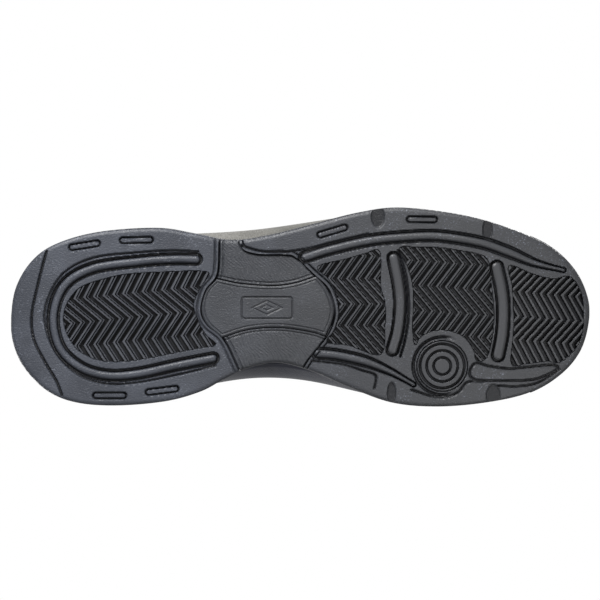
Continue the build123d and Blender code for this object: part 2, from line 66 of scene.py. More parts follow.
# ------------------------------------------------------------------ outsole: shared plan and rubber
# The outsole is one rubber moulding in the plan of the sole, cut into pods, panels and treads.
# Plan measures are millimetres, in the shoe's own X and Y; heights are above the ground face.
MM = 0.001
HALF_LENGTH = 150.0
TOE_SPRING = (84.0, 14.0)       # where the ground line leaves the floor, and how far it rises
HEEL_BEVEL = (-125.0, 4.0)
OUTSOLE_THICKNESS = 4.5
SOLE_LINE = [
    (-150, 6), (-147.5, -10), (-139, -24), (-126, -33), (-104, -39), (-74, -41), (-54, -38),
    (-36, -34.8), (-18, -37), (4, -42.4), (30, -49), (52, -51.5), (84, -47.6), (109, -40.5),
    (129, -31.5), (142.5, -19), (149.4, -4), (149.4, 10), (144.5, 24), (134, 35.5), (118, 44.5),
    (96, 49.4), (70, 51.5), (46, 49.2), (22, 40.3), (4.5, 32.9), (-13, 28.8), (-28, 32),
    (-40, 37.5), (-52, 43.8), (-70, 48.8), (-95, 51), (-116, 49.5), (-131, 43.4), (-143, 31.5),
    (-148.8, 19),
]


def curve(points, closed=False, step=0.6):
    """A smooth line through a few plan points, as many short runs (Catmull-Rom)."""
    points = np.array(points, float)
    if closed:
        points = np.vstack([points[-1], points, points[0], points[1]])
    else:
        points = np.vstack([2 * points[0] - points[1], points, 2 * points[-1] - points[-2]])
    out = []
    for a, b, c, d in zip(points, points[1:], points[2:], points[3:]):
        count = max(2, int(np.linalg.norm(c - b) / step))
        t = np.linspace(0, 1, count, endpoint=False)[:, None]
        out.append(0.5 * (2 * b + (c - a) * t + (2 * a - 5 * b + 4 * c - d) * t**2
                          + (3 * b - a - 3 * c + d) * t**3))
    out.append(points[-2][None, :])
    return np.vstack(out)


def measured(line):
    """The lengths of a line's runs, and the distance from its start to each of its points."""
    runs = np.linalg.norm(np.diff(line, axis=0), axis=1)
    return runs, np.concatenate([[0], np.cumsum(runs)])


def lift(x):
    """How far the ground line stands above the floor at x: heel bevel and toe spring."""
    rise = np.zeros_like(x)
    for (start, height), side in ((TOE_SPRING, 1), (HEEL_BEVEL, -1)):
        run = HALF_LENGTH - side * start
        radius = (run * run + height * height) / (2 * height)
        past = np.clip(side * (x - start), 0, radius * 0.9)
        rise += radius - np.sqrt(radius**2 - past**2)
    return rise


class Plan:
    """A grid of points over a plan region, with distances to the lines drawn on it."""

    def __init__(self, low, high, spacing):
        self.spacing = spacing
        self.xs = np.arange(low[0], high[0] + spacing, spacing)
        self.ys = np.arange(low[1], high[1] + spacing, spacing)
        self.x, self.y = np.meshgrid(self.xs, self.ys, indexing="ij")

    def near(self, line, reach=6.0):
        """Distance to a line, and how far along it the nearest point is; reach where further."""
        dist = np.full(self.x.shape, reach)
        along = np.zeros(self.x.shape)
        runs, travelled = measured(line)
        for i, (p, q) in enumerate(zip(line, line[1:])):
            low = (np.minimum(p, q) - reach - (self.xs[0], self.ys[0])) / self.spacing
            high = (np.maximum(p, q) + reach - (self.xs[0], self.ys[0])) / self.spacing
            i0, j0 = (max(0, int(v)) for v in low)
            i1, j1 = (max(0, int(v) + 2) for v in high)
            gx, gy = self.x[i0:i1, j0:j1], self.y[i0:i1, j0:j1]
            if not gx.size:
                continue
            run = q - p
            t = ((gx - p[0]) * run[0] + (gy - p[1]) * run[1]) / max(run @ run, 1e-9)
            t = np.clip(t, 0, 1)
            d = np.hypot(gx - p[0] - t * run[0], gy - p[1] - t * run[1])
            closer = d < dist[i0:i1, j0:j1]
            dist[i0:i1, j0:j1][closer] = d[closer]
            along[i0:i1, j0:j1][closer] = (travelled[i] + t * runs[i])[closer]
        return dist, along

    def inside(self, line):
        """True inside a closed line."""
        inside = np.zeros(self.x.shape, bool)
        for p, q in zip(line, np.roll(line, -1, axis=0)):
            if p[0] == q[0]:
                continue
            a, b = (p, q) if p[0] < q[0] else (q, p)
            rows = np.nonzero((self.xs >= a[0]) & (self.xs < b[0]))[0]
            for row in rows:
                y = a[1] + (self.xs[row] - a[0]) * (b[1] - a[1]) / (b[0] - a[0])
                inside[row] ^= self.ys > y
        return inside

    def depth_in(self, line, reach=6.0):
        """Distance in from a closed line's edge, negative outside."""
        loop = np.vstack([line, line[:1]])
        dist, _ = self.near(loop, reach)
        return np.where(self.inside(line), dist, -dist)


def ramp(value, start, end):
    """0 before start, 1 after end, smooth between."""
    t = np.clip((value - start) / (end - start), 0, 1)
    return t * t * (3 - 2 * t)


def groove(dist, half_width, depth, wall=0.35):
    """The depth of a round-bottomed groove at a distance from its centre line."""
    return depth * (1 - ramp(dist, half_width - wall, half_width + wall))


def link(name, mesh, material=None):
    """A new piece that sits at the origin, with its place in its mesh."""
    piece = bpy.data.objects.new(name, mesh)
    bpy.context.scene.collection.objects.link(piece)
    if material:
        mesh.materials.append(material)
    return piece


def new_mesh(name, points, faces):
    """A mesh from points in millimetres."""
    mesh = bpy.data.meshes.new(name)
    mesh.from_pydata((np.array(points) * MM).tolist(), [], faces)
    return mesh


def ring_faces(rings, size, closed=False):
    """Faces from each ring of size points to the next, and from the last to the first if closed."""
    return [(i * size + k, i * size + (k + 1) % size, (i + 1) % rings * size + (k + 1) % size,
             (i + 1) % rings * size + k)
            for i in range(rings if closed else rings - 1) for k in range(size)]


def outward(mesh, sharp=180.0, weld=0.0):
    """Weld a mesh's near points, turn its faces outwards, and smooth all but its sharp edges."""
    solid = bmesh.new()
    solid.from_mesh(mesh)
    if weld:
        bmesh.ops.remove_doubles(solid, verts=solid.verts, dist=weld)
    bmesh.ops.recalc_face_normals(solid, faces=solid.faces)
    solid.to_mesh(mesh)
    solid.free()
    mesh.shade_smooth()
    if sharp < 180:
        mesh.set_sharp_from_angle(angle=math.radians(sharp))


def fixed(piece, slot, body, *nodes):
    """A rigid piece: its material slot, which is not used, the body it rides, and the nodes it stands for."""
    if nodes:
        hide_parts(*nodes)
    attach(piece, body)


def bends(piece, slot, *nodes):
    """A piece across the ball with its transform baked in: its slot, which is not used, and the nodes on both
    sides that it stands for.
    """
    if nodes:
        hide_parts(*nodes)
    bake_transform(piece)


def relief(name, plan, region, height, top, material, face=0.0):
    """A closed solid over a plan region: its underside follows height, its top lies at top.

    region is the distance in from the region's edge; points beside the edge are moved onto it.
    face is the height of its main face, from which the depth attribute that the rubber's painted shade
    follows is measured.
    """
    cells = (region[:-1, :-1] + region[1:, :-1] + region[:-1, 1:] + region[1:, 1:]) / 4 > 0
    index = -np.ones(region.shape, int)
    used = np.zeros(region.shape, bool)
    for i, j in ((0, 0), (1, 0), (1, 1), (0, 1)):
        used[i:used.shape[0] - 1 + i, j:used.shape[1] - 1 + j] |= cells
    index[used] = np.arange(used.sum())
    slope_x, slope_y = np.gradient(region, plan.spacing)
    size = np.maximum(np.hypot(slope_x, slope_y), 0.3)
    rim = used.copy()
    full = np.zeros(region.shape, int)
    for i, j in ((0, 0), (1, 0), (1, 1), (0, 1)):
        full[i:full.shape[0] - 1 + i, j:full.shape[1] - 1 + j] += cells
    rim &= full < 4
    shift = np.where(rim, np.clip(region, -plan.spacing, plan.spacing), 0)
    x = plan.x - shift * slope_x / size
    y = plan.y - shift * slope_y / size
    z = height + lift(x)
    verts = np.stack([x[used], y[used], z[used]], axis=1)
    a, b = index[:-1, :-1][cells], index[1:, :-1][cells]
    c, d = index[1:, 1:][cells], index[:-1, 1:][cells]
    quads = np.stack([a, d, c, b], axis=1)
    mesh = new_mesh(name, verts, quads.tolist())
    # The depth below the main face, kept so the rubber's material can paint shade into recesses.
    shade_depth = mesh.attributes.new("shade_depth", "FLOAT", "POINT")
    shade_depth.data.foreach_set("value", height[used] - face)
    shell = bmesh.new()
    shell.from_mesh(mesh)
    border = [e for e in shell.edges if e.is_boundary]
    grown = bmesh.ops.extrude_edge_only(shell, edges=border)["geom"]
    new_verts = [v for v in grown if isinstance(v, bmesh.types.BMVert)]
    for v in new_verts:
        v.co.z = (top + float(lift(np.array([v.co.x / MM]))[0])) * MM
    new_edges = [e for e in grown if isinstance(e, bmesh.types.BMEdge) and e.is_boundary]
    bmesh.ops.triangle_fill(shell, use_beauty=False, use_dissolve=False, edges=new_edges)
    shell.to_mesh(mesh)
    shell.free()
    outward(mesh, 40)
    return link(name, mesh, material)


class Value:
    """A shader socket. Arithmetic on it adds Math nodes."""

    def __init__(self, finish, node, socket):
        self.finish, self.node, self.socket = finish, node, socket

    def out(self, name):
        return Value(self.finish, self.node, self.node.outputs[name])

    def maths(self, operation, *inputs):
        return self.finish.add("ShaderNodeMath", {"operation": operation}, *inputs)

    def __add__(self, other):
        return self.maths("ADD", self, other)

    __radd__ = __add__

    def __sub__(self, other):
        return self.maths("SUBTRACT", self, other)

    def __rsub__(self, other):
        return self.maths("SUBTRACT", other, self)

    def __mul__(self, other):
        return self.maths("MULTIPLY", self, other)

    __rmul__ = __mul__

    def sine(self):
        return self.maths("SINE", self)

    def clamped(self, low, high):
        """0 below low, 1 above high."""
        span = {"clamp": True, "interpolation_type": "SMOOTHSTEP"}
        return self.finish.add("ShaderNodeMapRange", span, self, low, high, 0.0, 1.0)


class Finish:
    """A node material on the Principled shader."""

    def __init__(self, name, **constants):
        self.material = bpy.data.materials.new(name)
        self.material.use_nodes = True
        self.tree = self.material.node_tree
        self.shader = self.tree.nodes["Principled BSDF"]
        for socket, value in constants.items():
            self.shader.inputs[socket.replace("_", " ")].default_value = value
        self.place = self.add("ShaderNodeTexCoord", {}).out("Object")

    def add(self, kind, settings, *inputs, **named):
        """A node of a kind, its settings first, then its sockets by place or by name."""
        node = self.tree.nodes.new(kind)
        for key, value in settings.items():
            setattr(node, key, value)
        pairs = list(zip(node.inputs, inputs))
        pairs += [(node.inputs[key.replace("_", " ")], value) for key, value in named.items()]
        for socket, value in pairs:
            if isinstance(value, Value):
                self.tree.links.new(value.socket, socket)
            elif value is not None:
                socket.default_value = value
        live = [socket for socket in node.outputs if socket.enabled]
        return Value(self, node, live[0])

    def noise(self, scale, detail=2.0, where=None):
        """Soft noise from 0 to 1; scale is its number of waves in a metre."""
        return self.add("ShaderNodeTexNoise", {}, Vector=where or self.place, Scale=scale,
                        Detail=detail, Roughness=0.55)

    def cells(self, scale):
        return self.add("ShaderNodeTexVoronoi", {}, Vector=self.place, Scale=scale).out("Distance")

    def blend(self, share, first, second):
        """A colour between two, by share."""
        mixed = self.add("ShaderNodeMix", {"data_type": "RGBA"}, Factor=share)
        for socket, colour in zip([s for s in mixed.node.inputs if s.type == "RGBA"], (first, second)):
            if isinstance(colour, Value):
                self.tree.links.new(colour.socket, socket)
            else:
                socket.default_value = (*colour, 1.0)
        result = next(s for s in mixed.node.outputs if s.type == "RGBA")
        return Value(self, mixed.node, result)

    def set(self, socket, value):
        self.tree.links.new(value.socket, self.shader.inputs[socket])

    def bump(self, height, distance):
        """Relief of a height field from 0 to 1, at most distance metres deep."""
        self.set("Normal", self.add("ShaderNodeBump", {}, Strength=1.0, Distance=distance, Height=height))

    def coat(self, pattern, dark, light, height, distance):
        """Colour between dark and light by a pattern, and relief by a height field."""
        self.set("Base Color", self.blend(pattern, dark, light))
        self.bump(height, distance)


def moulded_rubber(name, colour, wrinkle, scuff):
    """Slate rubber with a leathery mould grain, scuffed where proud, and painted shade that turns it near
    black where it is sunk.
    """
    finish = Finish(name, Specular_IOR_Level=0.45)
    shade_depth = finish.add("ShaderNodeAttribute", {"attribute_name": "shade_depth"}).out("Fac")
    stretched = finish.add("ShaderNodeMapping", {}, Vector=finish.place, Rotation=(0.0, 0.0, 0.8),
                           Scale=(1.0, 2.2, 1.0))
    wrinkles = finish.noise(620.0, 4.0, stretched)
    pebble = finish.cells(1300.0)
    cloud = finish.noise(38.0, 3.0)
    dust = finish.noise(1100.0, 3.0).clamped(0.56, 0.7) * finish.noise(70.0, 2.0).clamped(0.45, 0.65)
    dark = tuple(c * 0.72 for c in colour)
    pale = tuple(c * 2.6 + 0.03 for c in colour)
    warm = (colour[0] * 0.86, colour[0] * 0.88, colour[0] * 0.94)
    toeward = finish.add("ShaderNodeSeparateXYZ", {}, finish.place).clamped(-0.09, 0.08)
    base = finish.blend(cloud.clamped(0.35, 0.7), dark, colour)
    base = finish.blend(toeward * 0.85, base, finish.blend(cloud, warm, tuple(c * 0.8 for c in warm)))
    base = finish.blend(dust * scuff, base, pale)
    # Painted shade: the colour goes near black where the surface is sunk below its face.
    base = finish.blend(shade_depth.clamped(0.5, 1.6), base, (0.004, 0.0045, 0.0065))
    finish.set("Base Color", base)
    finish.set("Roughness", 0.36 + cloud * 0.22)
    finish.bump(wrinkles * wrinkle + pebble * (0.4 * wrinkle), 0.0004)
    return finish.material


# ------------------------------------------------------------------ heel outsole
# The heel pod of the rubber outsole: a bevelled back edge behind a curved groove, a rounded
# horseshoe bead in its own channel, four slots by the edge and a recess for the heel tread.
GRID = 0.4
EDGE_INSET = 0.4
EDGE_ROUND = 2.6
RECESS_DEPTH = 3.1
HEEL_FRONT = [(-41.5, -44), (-42.2, -34), (-43.2, -17), (-49, -8.7), (-51.6, 1.5), (-48.6, 9),
              (-40.2, 16.5), (-33, 31), (-28, 42)]
HEEL_PANEL = [(-122, 4.6), (-120.6, -1), (-117.3, -6.3), (-112.5, -10.5), (-104, -13.6),
              (-91, -16.6), (-74, -17.8), (-48.6, -18), (-51, -11.5), (-54.4, -4.6), (-55.3, 0.5),
              (-52.6, 8.2), (-48.9, 14.6), (-44, 19.4), (-52.5, 21.1), (-66, 23.7), (-80, 26.5),
              (-92, 28), (-103.7, 27.3), (-113.5, 23), (-119, 16.4), (-121.6, 10)]
CRESCENT = [(-131, -28.5), (-135.3, -12), (-138.6, 4), (-137.6, 16.5), (-132, 28), (-126, 38),
            (-123, 45.5)]
HORSESHOE = [(-54, -24.5), (-66, -24.7), (-84, -23.4), (-107, -20), (-121.5, -11.5), (-127.5, 4),
             (-124.5, 20.5), (-113.7, 31), (-99.8, 35.2), (-84, 34.3), (-63, 29.8), (-45.3, 26.4)]
HORSESHOE_RIM = [(-53, -28.4), (-66, -29), (-84, -28), (-107, -25.2), (-123, -16.5), (-131.5, 0),
                 (-130.5, 14), (-124, 26.5), (-113.5, 35.5), (-100, 39.5), (-84, 38.8),
                 (-62, 34.5), (-44, 30.2)]
BEAD_HALF = 2.2
CHANNEL_HALF = 3.4
CHANNEL_DEPTH = 2.2
SLOT_HALF = 1.5
HEEL_SLOTS = [(-111.4, -31.7, -9, 13), (-84.7, -34.4, -1, 14), (-98.5, 45.6, 0, 14),
              (-71.5, 43, -7, 14)]


def bead_channel(dist):
    """A rounded bead that rises to the ground face out of a channel a little wider than it."""
    bead = 0.12 + 1.9 * np.clip(dist / BEAD_HALF, 0, 1) ** 3
    wall = groove(dist, CHANNEL_HALF, CHANNEL_DEPTH, 0.3)
    return np.where(dist < BEAD_HALF, np.minimum(bead, wall), wall)


def slot_recess(plan, x, y, turn, length):
    """The depth of a slot with round ends: a groove round a slightly sunk bar."""
    half = np.array([math.cos(math.radians(turn)), math.sin(math.radians(turn))]) * length / 2
    dist, _ = plan.near(np.array([(x, y) - half, (x, y) + half]), 4.0)
    floor = 0.45 * (1 - ramp(dist, SLOT_HALF - 0.3, SLOT_HALF + 0.2))
    return np.maximum(floor, groove(abs(dist - SLOT_HALF), 0.5, 1.7, 0.3))


def edge_roll(depth_in):
    """The rounded lower edge of the outsole."""
    inward = np.clip(1 - depth_in / EDGE_ROUND, 0, 1)
    return EDGE_ROUND * (1 - np.sqrt(1 - inward * inward * 0.96))


def side_loop(front, *corners):
    """A closed line from a smooth open one and the far corners that close it."""
    return np.vstack([curve(front), np.array(corners, float)])


def thin_line(plan, points, half_width=0.6, depth=1.4):
    """The depth of a narrow groove along a few points."""
    dist, _ = plan.near(curve(points), 3.0)
    return groove(dist, half_width, depth, 0.3)


slate = moulded_rubber("slate_rubber", (0.056, 0.062, 0.078), 0.5, 0.8)
sole_loop = curve(SOLE_LINE, closed=True)
heel_plan = Plan((-151, -45), (-27, 54), GRID)
heel_in = heel_plan.depth_in(sole_loop)
heel_loop = side_loop(HEEL_FRONT, (-28, 70), (-160, 70), (-160, -60), (-41.5, -60))
heel_front_in = heel_plan.depth_in(heel_loop)
heel_panel_in = heel_plan.depth_in(curve(HEEL_PANEL, closed=True))
height = np.maximum.reduce([
    edge_roll(heel_in),
    bead_channel(heel_plan.near(curve(HORSESHOE))[0]),
    thin_line(heel_plan, HORSESHOE_RIM),
    thin_line(heel_plan, CRESCENT, 0.65, 1.6),
    groove(abs(heel_front_in - 1.9), 0.5, 1.1, 0.3),
    *(slot_recess(heel_plan, *slot) for slot in HEEL_SLOTS),
    RECESS_DEPTH * ramp(heel_panel_in, -0.3, 0.1),
])
heel_region = np.minimum(heel_in - EDGE_INSET, heel_front_in - 0.3)
heel_rubber = relief("heel_outsole_rubber", heel_plan, heel_region, height, OUTSOLE_THICKNESS, slate)
fixed(heel_rubber, "outsole", "shoe", "heel_outsole")


# ------------------------------------------------------------------ herringbone treads
# Four panels of zigzag ribs, moulded on a thin web in the outsole's recesses. Each rib has a
# lower ledge line behind it and a deep groove; the toe panel has single, closer ribs.
TREAD_GRID = 0.3
GROOVE_FLOOR = 2.5
WEB_TOP = 3.05


def zigzag(x, y, rows, slant, tilt, reference):
    """How far a rib is shifted along X at a point: rows are the Y of its corners, slant each
    limb's run in X for a millimetre of Y, and tilt how the rows climb along the shoe."""
    across = y - tilt * (x - reference)
    levels = [-90.0, *rows, 90.0]
    shift = np.zeros_like(across)
    for low, high, run in zip(levels, levels[1:], slant):
        shift += run * (np.clip(across, low, high) - np.clip(rows[0], low, high))
    return shift


def rib_profile(phase, ledge):
    """Depth below the ground face across one pitch: rib, gap, ledge line, deep groove."""
    rib, gap, ledge_end = (0.29, 0.39, 0.56) if ledge else (0.42, 0.42, 0.42)
    depth = np.full_like(phase, GROOVE_FLOOR)
    depth = np.where(phase < rib, 0.05, depth)
    if ledge:
        depth = np.where((phase >= rib) & (phase < gap), 1.5, depth)
        depth = np.where((phase >= gap) & (phase < ledge_end), 0.3, depth)
    return depth


def tread(name, outline, pitch, rows, slant, tilt, reference, start, ledge):
    """A tread panel: its ribs' pitch, the zigzag's shape, and where its first rib starts."""
    loop = curve(outline, closed=True)
    plan = Plan(loop.min(axis=0) - 1, loop.max(axis=0) + 1, TREAD_GRID)
    inner = plan.depth_in(loop)
    run = plan.x - start - zigzag(plan.x, plan.y, rows, slant, tilt, reference)
    height = rib_profile(np.mod(run / pitch, 1.0), ledge)
    return relief(name, plan, inner, height, WEB_TOP, tread_rubber)


tread_rubber = moulded_rubber("tread_rubber", (0.062, 0.066, 0.078), 0.15, 0.4)
heel_ribs = tread("heel_tread_ribs", HEEL_PANEL, 5.0, (-7.0, 5.7, 17.6),
                  (-0.53, 1.07, -0.7, 0.6), -0.1, -90.0, -117.3, True)
fixed(heel_ribs, "tread", "shoe", "heel_tread")


# ------------------------------------------------------------------ shank plate and waist panels
# The arch of the sole: a satin hourglass plate between two grooves, with a plain emblem of a
# diamond in a frame, and a wrinkled, pebbled panel on each side of it, raised off the ground.
PLATE_TOP = [(-43.7, -14.6), (-30.9, -12), (-14.9, -10.9), (-3.1, -12.3), (8.2, -16)]
PLATE_FRONT = [(8.2, -16), (13.6, -9), (16.9, 0), (16, 7), (12.6, 15)]
PLATE_BOTTOM = [(12.6, 15), (4.6, 12.6), (-11.1, 10.5), (-26.8, 11.5), (-41, 15.8)]
PLATE_BACK = [(-41, 15.8), (-48.5, 9), (-51.4, 1), (-49.2, -8.4), (-43.7, -14.6)]
BALL_BACK = [(-32, -44), (-30.9, -31.4), (-23.2, -27.6), (-8.2, -27.2), (-2.6, -25.6), (6.6, -17.2),
             (14.5, -9.5), (18, 1), (17, 8.5), (13.2, 16), (4.8, 26.5), (-4, 40)]
WAIST_RISE = 1.3
satin = moulded_rubber("satin_plate", (0.048, 0.052, 0.062), 0.6, 0.3)


def wrinkled(name, node, side):
    """A waist panel between the pods: corrugated across, and lower by its edges."""
    plan = Plan((-52, min(side * 9, side * 44)), (20, max(side * 9, side * 44)), 0.3)
    outside_plate = -plan.depth_in(plate_loop)
    outside_heel = -plan.depth_in(heel_loop)
    outside_ball = -plan.depth_in(ball_loop)
    inner = plan.depth_in(sole_loop)
    half = side * plan.y - 9.5
    region = np.minimum.reduce([outside_plate, outside_heel - 0.4, outside_ball - 0.4,
                                inner - EDGE_INSET, half])
    slant = plan.x - plan.y * 0.6 + 0.8 * np.sin(plan.y * 0.7) + 0.7 * np.sin(plan.x * 0.45)
    wave = 0.09 * np.sin(slant * 3.6) + 0.05 * np.sin(plan.x * 2.7 - plan.y * 1.3)
    height = WAIST_RISE + wave * ramp(region, 0.3, 2.0) + edge_roll(inner)
    height += 1.1 * (1 - ramp(outside_plate, 0.1, 0.6)) + 1.1 * (1 - ramp(outside_heel, 0.5, 1.1))
    for dist in (outside_plate - 1.7, outside_heel - 2.4):
        height += groove(abs(dist), 0.35, 0.6, 0.25)
    height += 0.9 * (1 - ramp(outside_ball, 0.5, 1.1))
    panel = relief(name, plan, region, height, OUTSOLE_THICKNESS, satin, WAIST_RISE)
    fixed(panel, "outsole", "shoe", node)


ball_loop = side_loop(BALL_BACK, (-4, 70), (170, 70), (170, -70), (-32, -70))
plate_loop = np.vstack([curve(line) for line in (PLATE_TOP, PLATE_FRONT, PLATE_BOTTOM, PLATE_BACK)])
wrinkled("waist_panel_lateral", "lateral_waist_panel", -1)
wrinkled("waist_panel_medial", "medial_waist_panel", 1)

plate_plan = Plan((-53, -18), (20, 18), 0.22)
plate_in = plate_plan.depth_in(plate_loop)
height = 0.8 + 0.5 * (1 - ramp(plate_in, 0.3, 0.9)) + groove(abs(plate_in - 1.7), 0.3, 0.5, 0.2)
# The emblem: a bar-shaped frame with rounded corners round two nested diamonds.
frame_x, frame_y = abs(plate_plan.x + 17.5), abs(plate_plan.y - 0.4)
frame_dist = np.hypot(np.clip(frame_x - 11.5, 0, None), np.clip(frame_y - 4, 0, None)) - 1.5
frame_dist = frame_dist + np.minimum(np.maximum(frame_x - 11.5, frame_y - 4), 0)
height += groove(abs(frame_dist), 0.42, 0.7, 0.2)
diamond = frame_x * 0.42 + frame_y * 0.9
height += groove(abs(diamond - 3.2), 0.36, 0.45, 0.2) + groove(abs(diamond - 1.2), 0.36, 0.45, 0.2)
shank = relief("shank_hourglass", plate_plan, plate_in - 0.2, height, OUTSOLE_THICKNESS, satin, 0.6)
fixed(shank, "shank", "shoe", "shank_plate")


# ------------------------------------------------------------------ forefoot outsole
# One rubber moulding across the ball: recesses for three treads, two flex bars and
# the pivot disc, a tapering bead on each side, edge slots, and notches worn smooth by the edge.
BALL_PANEL = [(8.7, -20.6), (22.6, -24.4), (33, -27.3), (40.4, -28.3), (41, -10.3), (43, -2.6),
              (43.2, 9.3), (40.8, 24.3), (24.4, 19.6), (13.6, 18), (17.5, 11.8), (19.8, 3),
              (18.4, -6.5), (14.4, -14.4)]
FOREFOOT_PANEL = [(50.8, -30.2), (61, -30.6), (71.5, -30.4), (82.3, -28.8), (90.3, -27.3),
                  (96, -24), (97.8, -12), (99.2, 2), (98.6, 14), (95.7, 25.8), (90.5, 27.5),
                  (88.9, 22), (84, 15.4), (76.5, 12.2), (68.5, 12.1), (62, 15), (58.6, 19.2),
                  (57.6, 10), (58.1, -3.1), (57.4, -12.4), (55, -20.6)]
TOE_PANEL = [(107.5, -21.1), (119.4, -16.9), (130.5, -14.4), (138.4, -15.8), (143.1, -11.4),
             (146, -4.1), (146.6, 5.7), (145.4, 14.9), (141.8, 22.1), (133.8, 28.6), (127.4, 28),
             (116.3, 29.2), (108.6, 29.2), (109.6, 14), (109.6, 0), (108.9, -11)]
REAR_BAR = [(47.6, -25.2), (50.2, -12), (51.1, -1), (49.9, 11.8), (47.1, 22.1)]
REAR_BAR_FRAME = [(49.9, -29), (53.6, -18), (55.3, -6), (55.3, 6), (53.6, 17), (51.2, 25.5)]
FRONT_BAR = [(100.8, -20.5), (103.4, -8.7), (104.3, 2.6), (103.6, 14.4), (101.6, 24.8)]
LATERAL_BEAD = [(2, -25.6), (14.7, -29.6), (35, -34.2), (55.4, -36.2), (71.5, -36.4), (92, -33.2),
                (106, -28.6), (121, -22.6), (136, -19)]
MEDIAL_BEAD = [(8.7, 23.9), (19, 24.9), (33.4, 28.2), (45.3, 33), (53.5, 37.4), (58, 40)]
LATERAL_LENS = [(-31, -31.6), (-20, -28.6), (-8.2, -28.4), (4.1, -30.2), (16.5, -33.4), (34.5, -37.6)]
MEDIAL_LENS = [(5.7, 27.8), (21.1, 29.6), (30.9, 32.6), (38.4, 35.4), (37.8, 42)]
PIVOT_UNDER = [(56.9, 42.7), (67.4, 46), (75, 46.2), (81, 43.7), (86, 38.6), (93.7, 38.6)]
TOE_LEAF = [(87, 33), (90, 29), (97.3, 30.6), (107.5, 31.8), (119.4, 30.8), (129.7, 30),
            (132.8, 31.9), (126, 35.6), (117, 37.8), (94.2, 37.9), (88, 36.6)]
TOE_UNDER = [(101.4, 40.6), (111, 41), (120.5, 39.7), (128, 36.2), (133.5, 32.4)]
FOREFOOT_SLOTS = [(16.2, -39, -16.4, 13), (62.3, -45, 1, 12.5)]
NOTCHES = [(39.6, -46.6, 3.6), (96.1, -39.6, 2.7), (46.7, 44.6, 2.4), (99, 45.6, 3.8)]
PIVOT = (72.7, 30.4)
BEAD_TAPER = 34.0
NOTCH_REACH, NOTCH_DEPTH = 6.0, 1.3
REAR_BAR_HALF, FRONT_BAR_HALF = 2.1, 2.35

fore_plan = Plan((-34, -54), (152, 54), 0.44)
fore_in = fore_plan.depth_in(sole_loop)
ball_in = fore_plan.depth_in(ball_loop)
leaf_in = fore_plan.depth_in(curve(TOE_LEAF, closed=True))
pivot_dist = np.hypot(fore_plan.x - PIVOT[0], fore_plan.y - PIVOT[1])


def tapered_bead(points):
    """A bead in its channel that narrows over its last stretch."""
    line = curve(points)
    dist, along = fore_plan.near(line)
    total = measured(line)[1][-1]
    return bead_channel(dist / (1 - 0.55 * ramp(along, total - BEAD_TAPER, total)))


def notch(x, y, half):
    """A shallow oval worn into the edge."""
    across = np.hypot((fore_plan.x - x) / half, (fore_plan.y - y) / NOTCH_REACH)
    return NOTCH_DEPTH * (1 - ramp(across, 0.86, 1.08))


def bar_recess(points, half):
    """The flat recess under a flex bar, with a channel round it."""
    dist, _ = fore_plan.near(curve(points))
    hug = groove(dist, half + 1.4, RECESS_DEPTH, 0.25)
    return np.where(dist < half + 0.1, RECESS_DEPTH, hug)


def panel_recess(outline):
    """The flat recess that a tread's web lies in."""
    panel_in = fore_plan.depth_in(curve(outline, closed=True))
    return RECESS_DEPTH * ramp(panel_in, -0.3, 0.1)


height = np.maximum.reduce([
    edge_roll(fore_in),
    *(tapered_bead(points) for points in (LATERAL_BEAD, MEDIAL_BEAD)),
    *(thin_line(fore_plan, points, 0.6, 1.5) for points in (LATERAL_LENS, MEDIAL_LENS, TOE_UNDER)),
    thin_line(fore_plan, PIVOT_UNDER, 0.65, 1.5),
    groove(abs(leaf_in), 0.65, 1.6, 0.3),
    1.5 * (1 - ramp(abs(ball_in - 1.6), 0.15, 0.6)),
    *(slot_recess(fore_plan, *slot) for slot in FOREFOOT_SLOTS),
    *(notch(*place) for place in NOTCHES),
    bar_recess(REAR_BAR, REAR_BAR_HALF),
    bar_recess(FRONT_BAR, 2.3),
    thin_line(fore_plan, REAR_BAR_FRAME, 0.6, 2.0),
    RECESS_DEPTH * (1 - ramp(pivot_dist, 13.0, 13.3)),
    groove(abs(pivot_dist - 14.9), 0.75, 2.0, 0.3) * ramp(-fore_plan.x, -80, -72),
    *(panel_recess(outline) for outline in (BALL_PANEL, FOREFOOT_PANEL, TOE_PANEL)),
])
fore_region = np.minimum(fore_in - EDGE_INSET, ball_in)
fore_rubber = relief("forefoot_outsole_rubber", fore_plan, fore_region, height, OUTSOLE_THICKNESS, slate)
bends(fore_rubber, "outsole", "forefoot_outsole_rear", "forefoot_outsole_flex",
      "forefoot_outsole_front")

ball_ribs = tread("ball_tread_ribs", BALL_PANEL, 4.7, (-26.2, -14.6, -1.5, 9.5),
                  (0.9, -0.72, 0.9, -0.72, 0.9), 0.0, 30.0, 22.0, True)
fixed(ball_ribs, "tread", "shoe", "ball_tread")
fore_ribs = tread("forefoot_tread_ribs", FOREFOOT_PANEL, 4.6, (-24.0, -11.3, 1.5, 13.4),
                  (0.9, -0.72, 0.9, -0.72, 0.9), 0.07, 59.0, 60.0, True)
bends(fore_ribs, "tread", "forefoot_tread")
toe_ribs = tread("toe_tread_ribs", TOE_PANEL, 3.8, (-20.0, -7.9, 4.6, 17.0),
                 (0.6, -0.9, 0.6, -0.87, 0.55), 0.08, 110.0, 111.0, False)
bends(toe_ribs, "tread", "toe_tread")


# ------------------------------------------------------------------ flex bars and pivot disc
# Two rounded rubber bars across the forefoot, each in a channel, and a disc of concentric rings
# under the first toe joint for turning on.
def bar(name, points, half, plan_low, plan_high):
    """A rubber bar with a rounded face, half as wide on each side of its middle line."""
    plan = Plan(plan_low, plan_high, 0.25)
    dist, _ = plan.near(curve(points))
    height = 0.1 + 0.8 * np.clip(dist / half, 0, 1) ** 3
    return relief(name, plan, half - dist, height, RECESS_DEPTH, tread_rubber)


